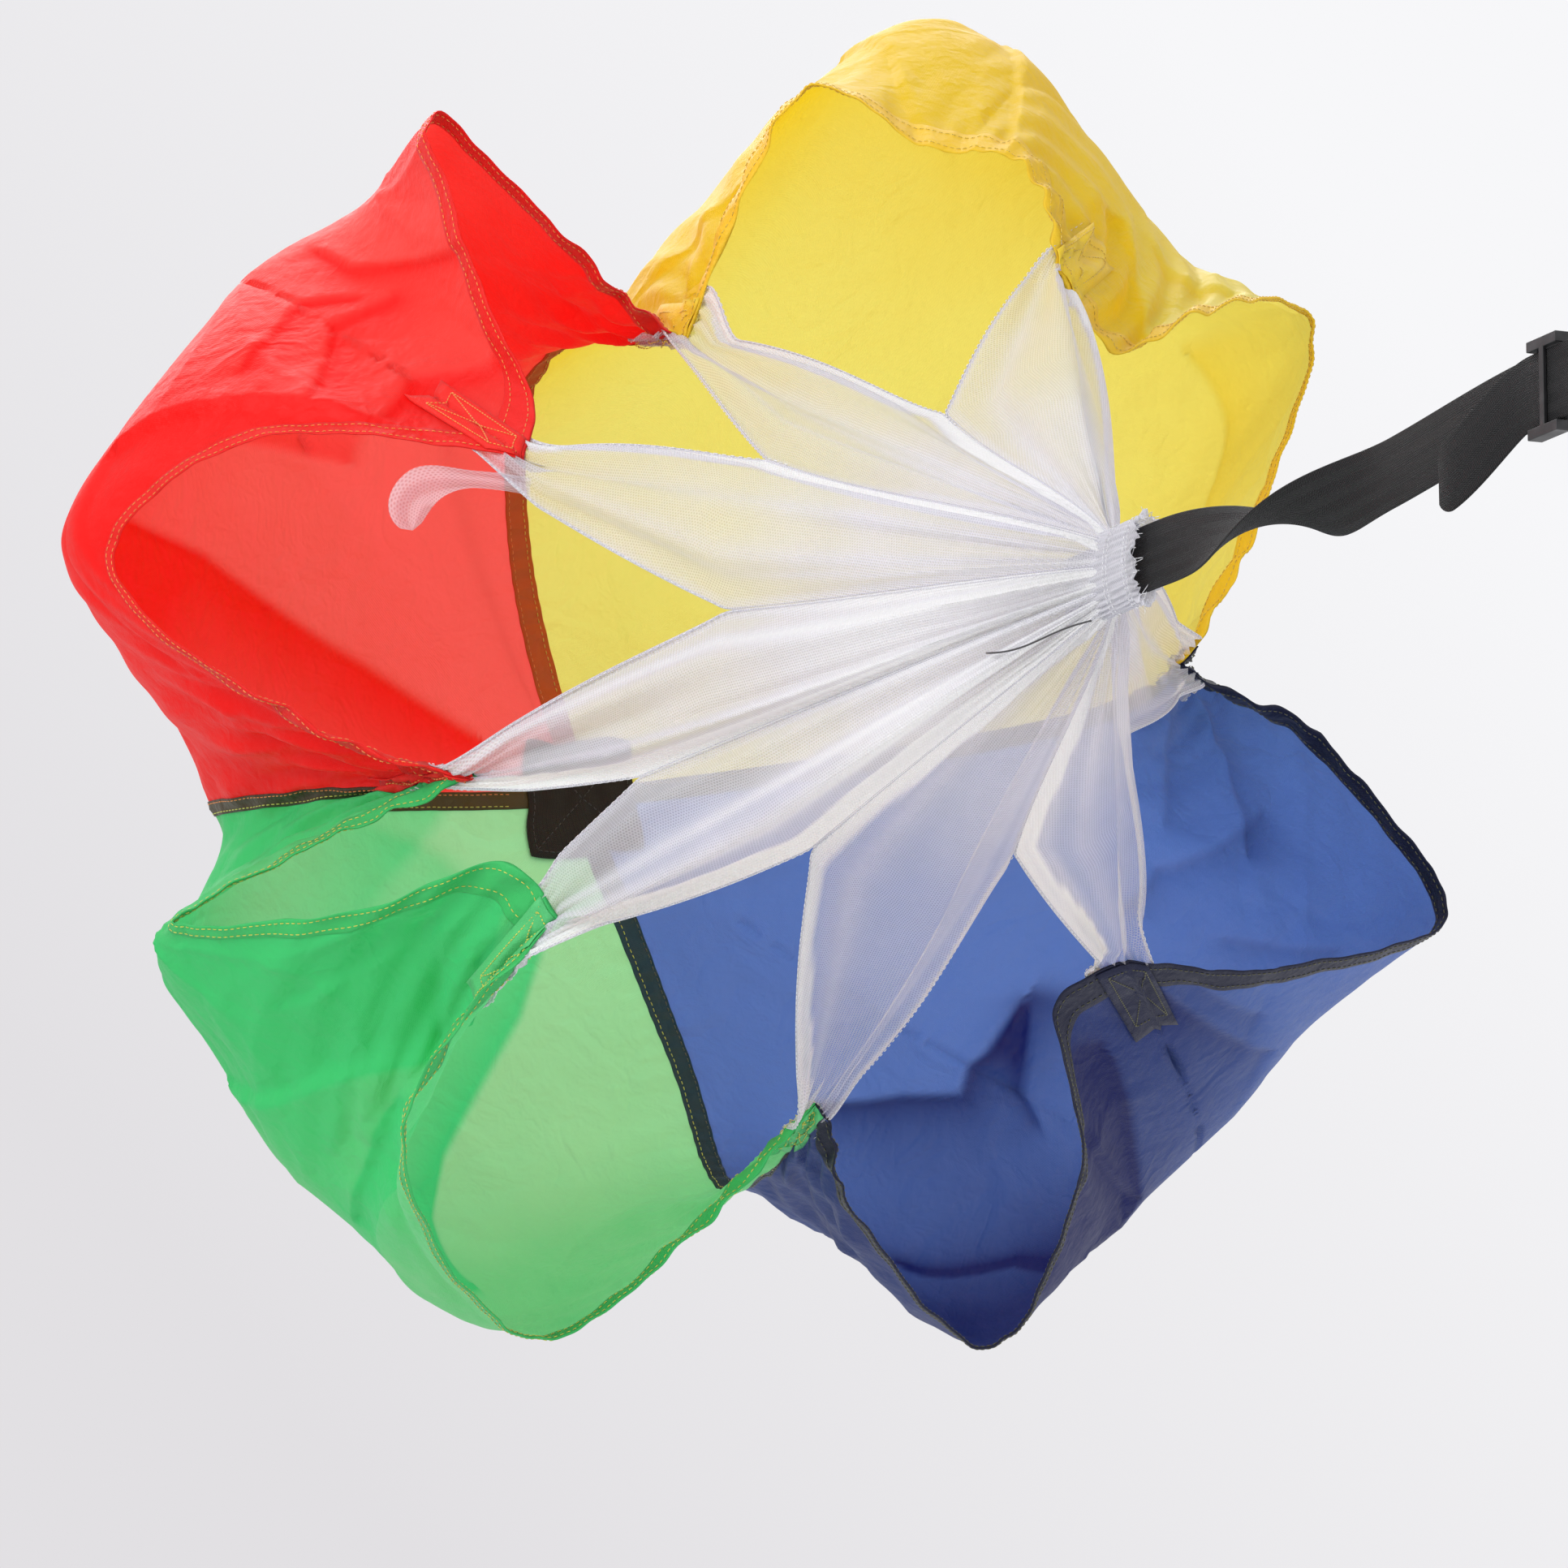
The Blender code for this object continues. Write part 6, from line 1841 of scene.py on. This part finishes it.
# Each lamp's name, place from the crown (right, up and back, or X, Y and Z), size and power.
LAMPS = (
    ("key", (-2.2, 2.6, 3.0), True, 2.6, 116.0),
    ("fill", (2.8, -0.6, 3.2), True, 2.4, 30.0),
    ("sky", (-2.2, 0.5, 2.4), False, 2.6, 78.0),
)
WORLD_LIGHT = 0.80
BACKDROP_RISE = 0.8
BACKDROP_REACH = 0.10
FLOOR_Z = -1.55
FLOOR_REACH = 6.0


def view_axes():
    """The ways right and up in the photograph, and back from it to the camera."""
    back = unit(np.array(VIEW_BACK_WAY))
    right = np.array(VIEW_RIGHT_WAY)
    right = unit(right - back * (right @ back))
    return right, np.cross(back, right), back


def aim(thing, place, target):
    thing.location = Vector(place)
    way = Vector(target) - Vector(place)
    thing.rotation_euler = way.to_track_quat("-Z", "Y").to_euler()


def make_camera():
    right, up, back = view_axes()
    data = bpy.data.cameras.new("camera")
    data.sensor_width = SENSOR
    data.lens = FOCAL_PIXELS / IMAGE_PIXELS * SENSOR
    data.clip_start, data.clip_end = 0.05, 60.0
    camera = placed("camera", data)
    place = CROWN + back * VIEW_DISTANCE + right * VIEW_RIGHT + up * VIEW_UP
    turn = Matrix([[right[k], up[k], back[k]] for k in range(3)]).to_4x4()
    camera.matrix_world = Matrix.Translation(Vector(place)) @ turn
    bpy.context.scene.camera = camera


def make_lights():
    """Large soft lamps: two on the camera's side and one above and behind the canopy."""
    for name, offset, in_view, size, power in LAMPS:
        if in_view:
            offset = sum(step * axis for step, axis in zip(offset, view_axes()))
        data = bpy.data.lights.new(name, "AREA")
        data.size = size
        data.energy = power
        aim(placed(name, data), CROWN + np.array(offset), CROWN)


def make_world():
    """Pale backdrop for the camera, and even soft light for everything else."""
    world = bpy.data.worlds.new("studio")
    bpy.context.scene.world = world
    world.use_nodes = True
    tree = world.node_tree
    tree.nodes.clear()
    right, up, _ = view_axes()
    seen_way = node(tree, "TexCoord").outputs["Generated"]
    lean = unit(right + BACKDROP_RISE * up)
    across = node(tree, "VectorMath", {0: seen_way, 1: tuple(lean)}, operation="DOT_PRODUCT")
    share = spread(tree, across.outputs["Value"], -BACKDROP_REACH, BACKDROP_REACH)
    colour = blend_colours(tree, share, srgb(226, 224, 227), srgb(247, 247, 249))
    backdrop = node(tree, "Background", {0: colour, 1: 1.0}).outputs[0]
    light = node(tree, "Background", {0: srgb(246, 245, 245), 1: WORLD_LIGHT}).outputs[0]
    path = node(tree, "LightPath").outputs
    seen = maths(tree, "MAXIMUM", path["Is Camera Ray"], path["Is Transmission Ray"])
    seen = maths(tree, "MAXIMUM", seen, path["Is Glossy Ray"])
    mixed = node(tree, "MixShader", {0: seen, 1: light, 2: backdrop}).outputs[0]
    node(tree, "OutputWorld", {0: mixed})


def make_floor():
    """A plain pale floor, far enough down for the chute to clear it in every pose."""
    made, tree = tree_of("floor_paper")
    tint = blend_colours(tree, noise(tree, 3.0), srgb(226, 227, 229), srgb(232, 233, 235))
    paper = node(tree, "BsdfPrincipled", {"Base Color": tint, "Roughness": 0.9}).outputs[0]
    finish_tree(tree, paper)
    mesh = bpy.data.meshes.new("floor")
    ways = ((-1, -1), (1, -1), (1, 1), (-1, 1))
    corners = [(APEX_X / 2 + x * FLOOR_REACH, y * FLOOR_REACH, FLOOR_Z) for x, y in ways]
    mesh.from_pydata(corners, [], [(0, 1, 2, 3)])
    mesh.materials.append(made)
    floor = placed("floor", mesh)


make_camera()
make_canopy()
make_hems()
make_seams()
make_canopy_stitches()
make_tab_patches()
make_centre_patches()
make_net()
make_sleeve()
make_strap()
make_ring()
make_left_webbing()
make_right_webbing()
make_ring_keeper()
make_pad()
make_fittings()
make_lights()
make_world()
make_floor()
bpy.context.scene.view_settings.view_transform = "Standard"
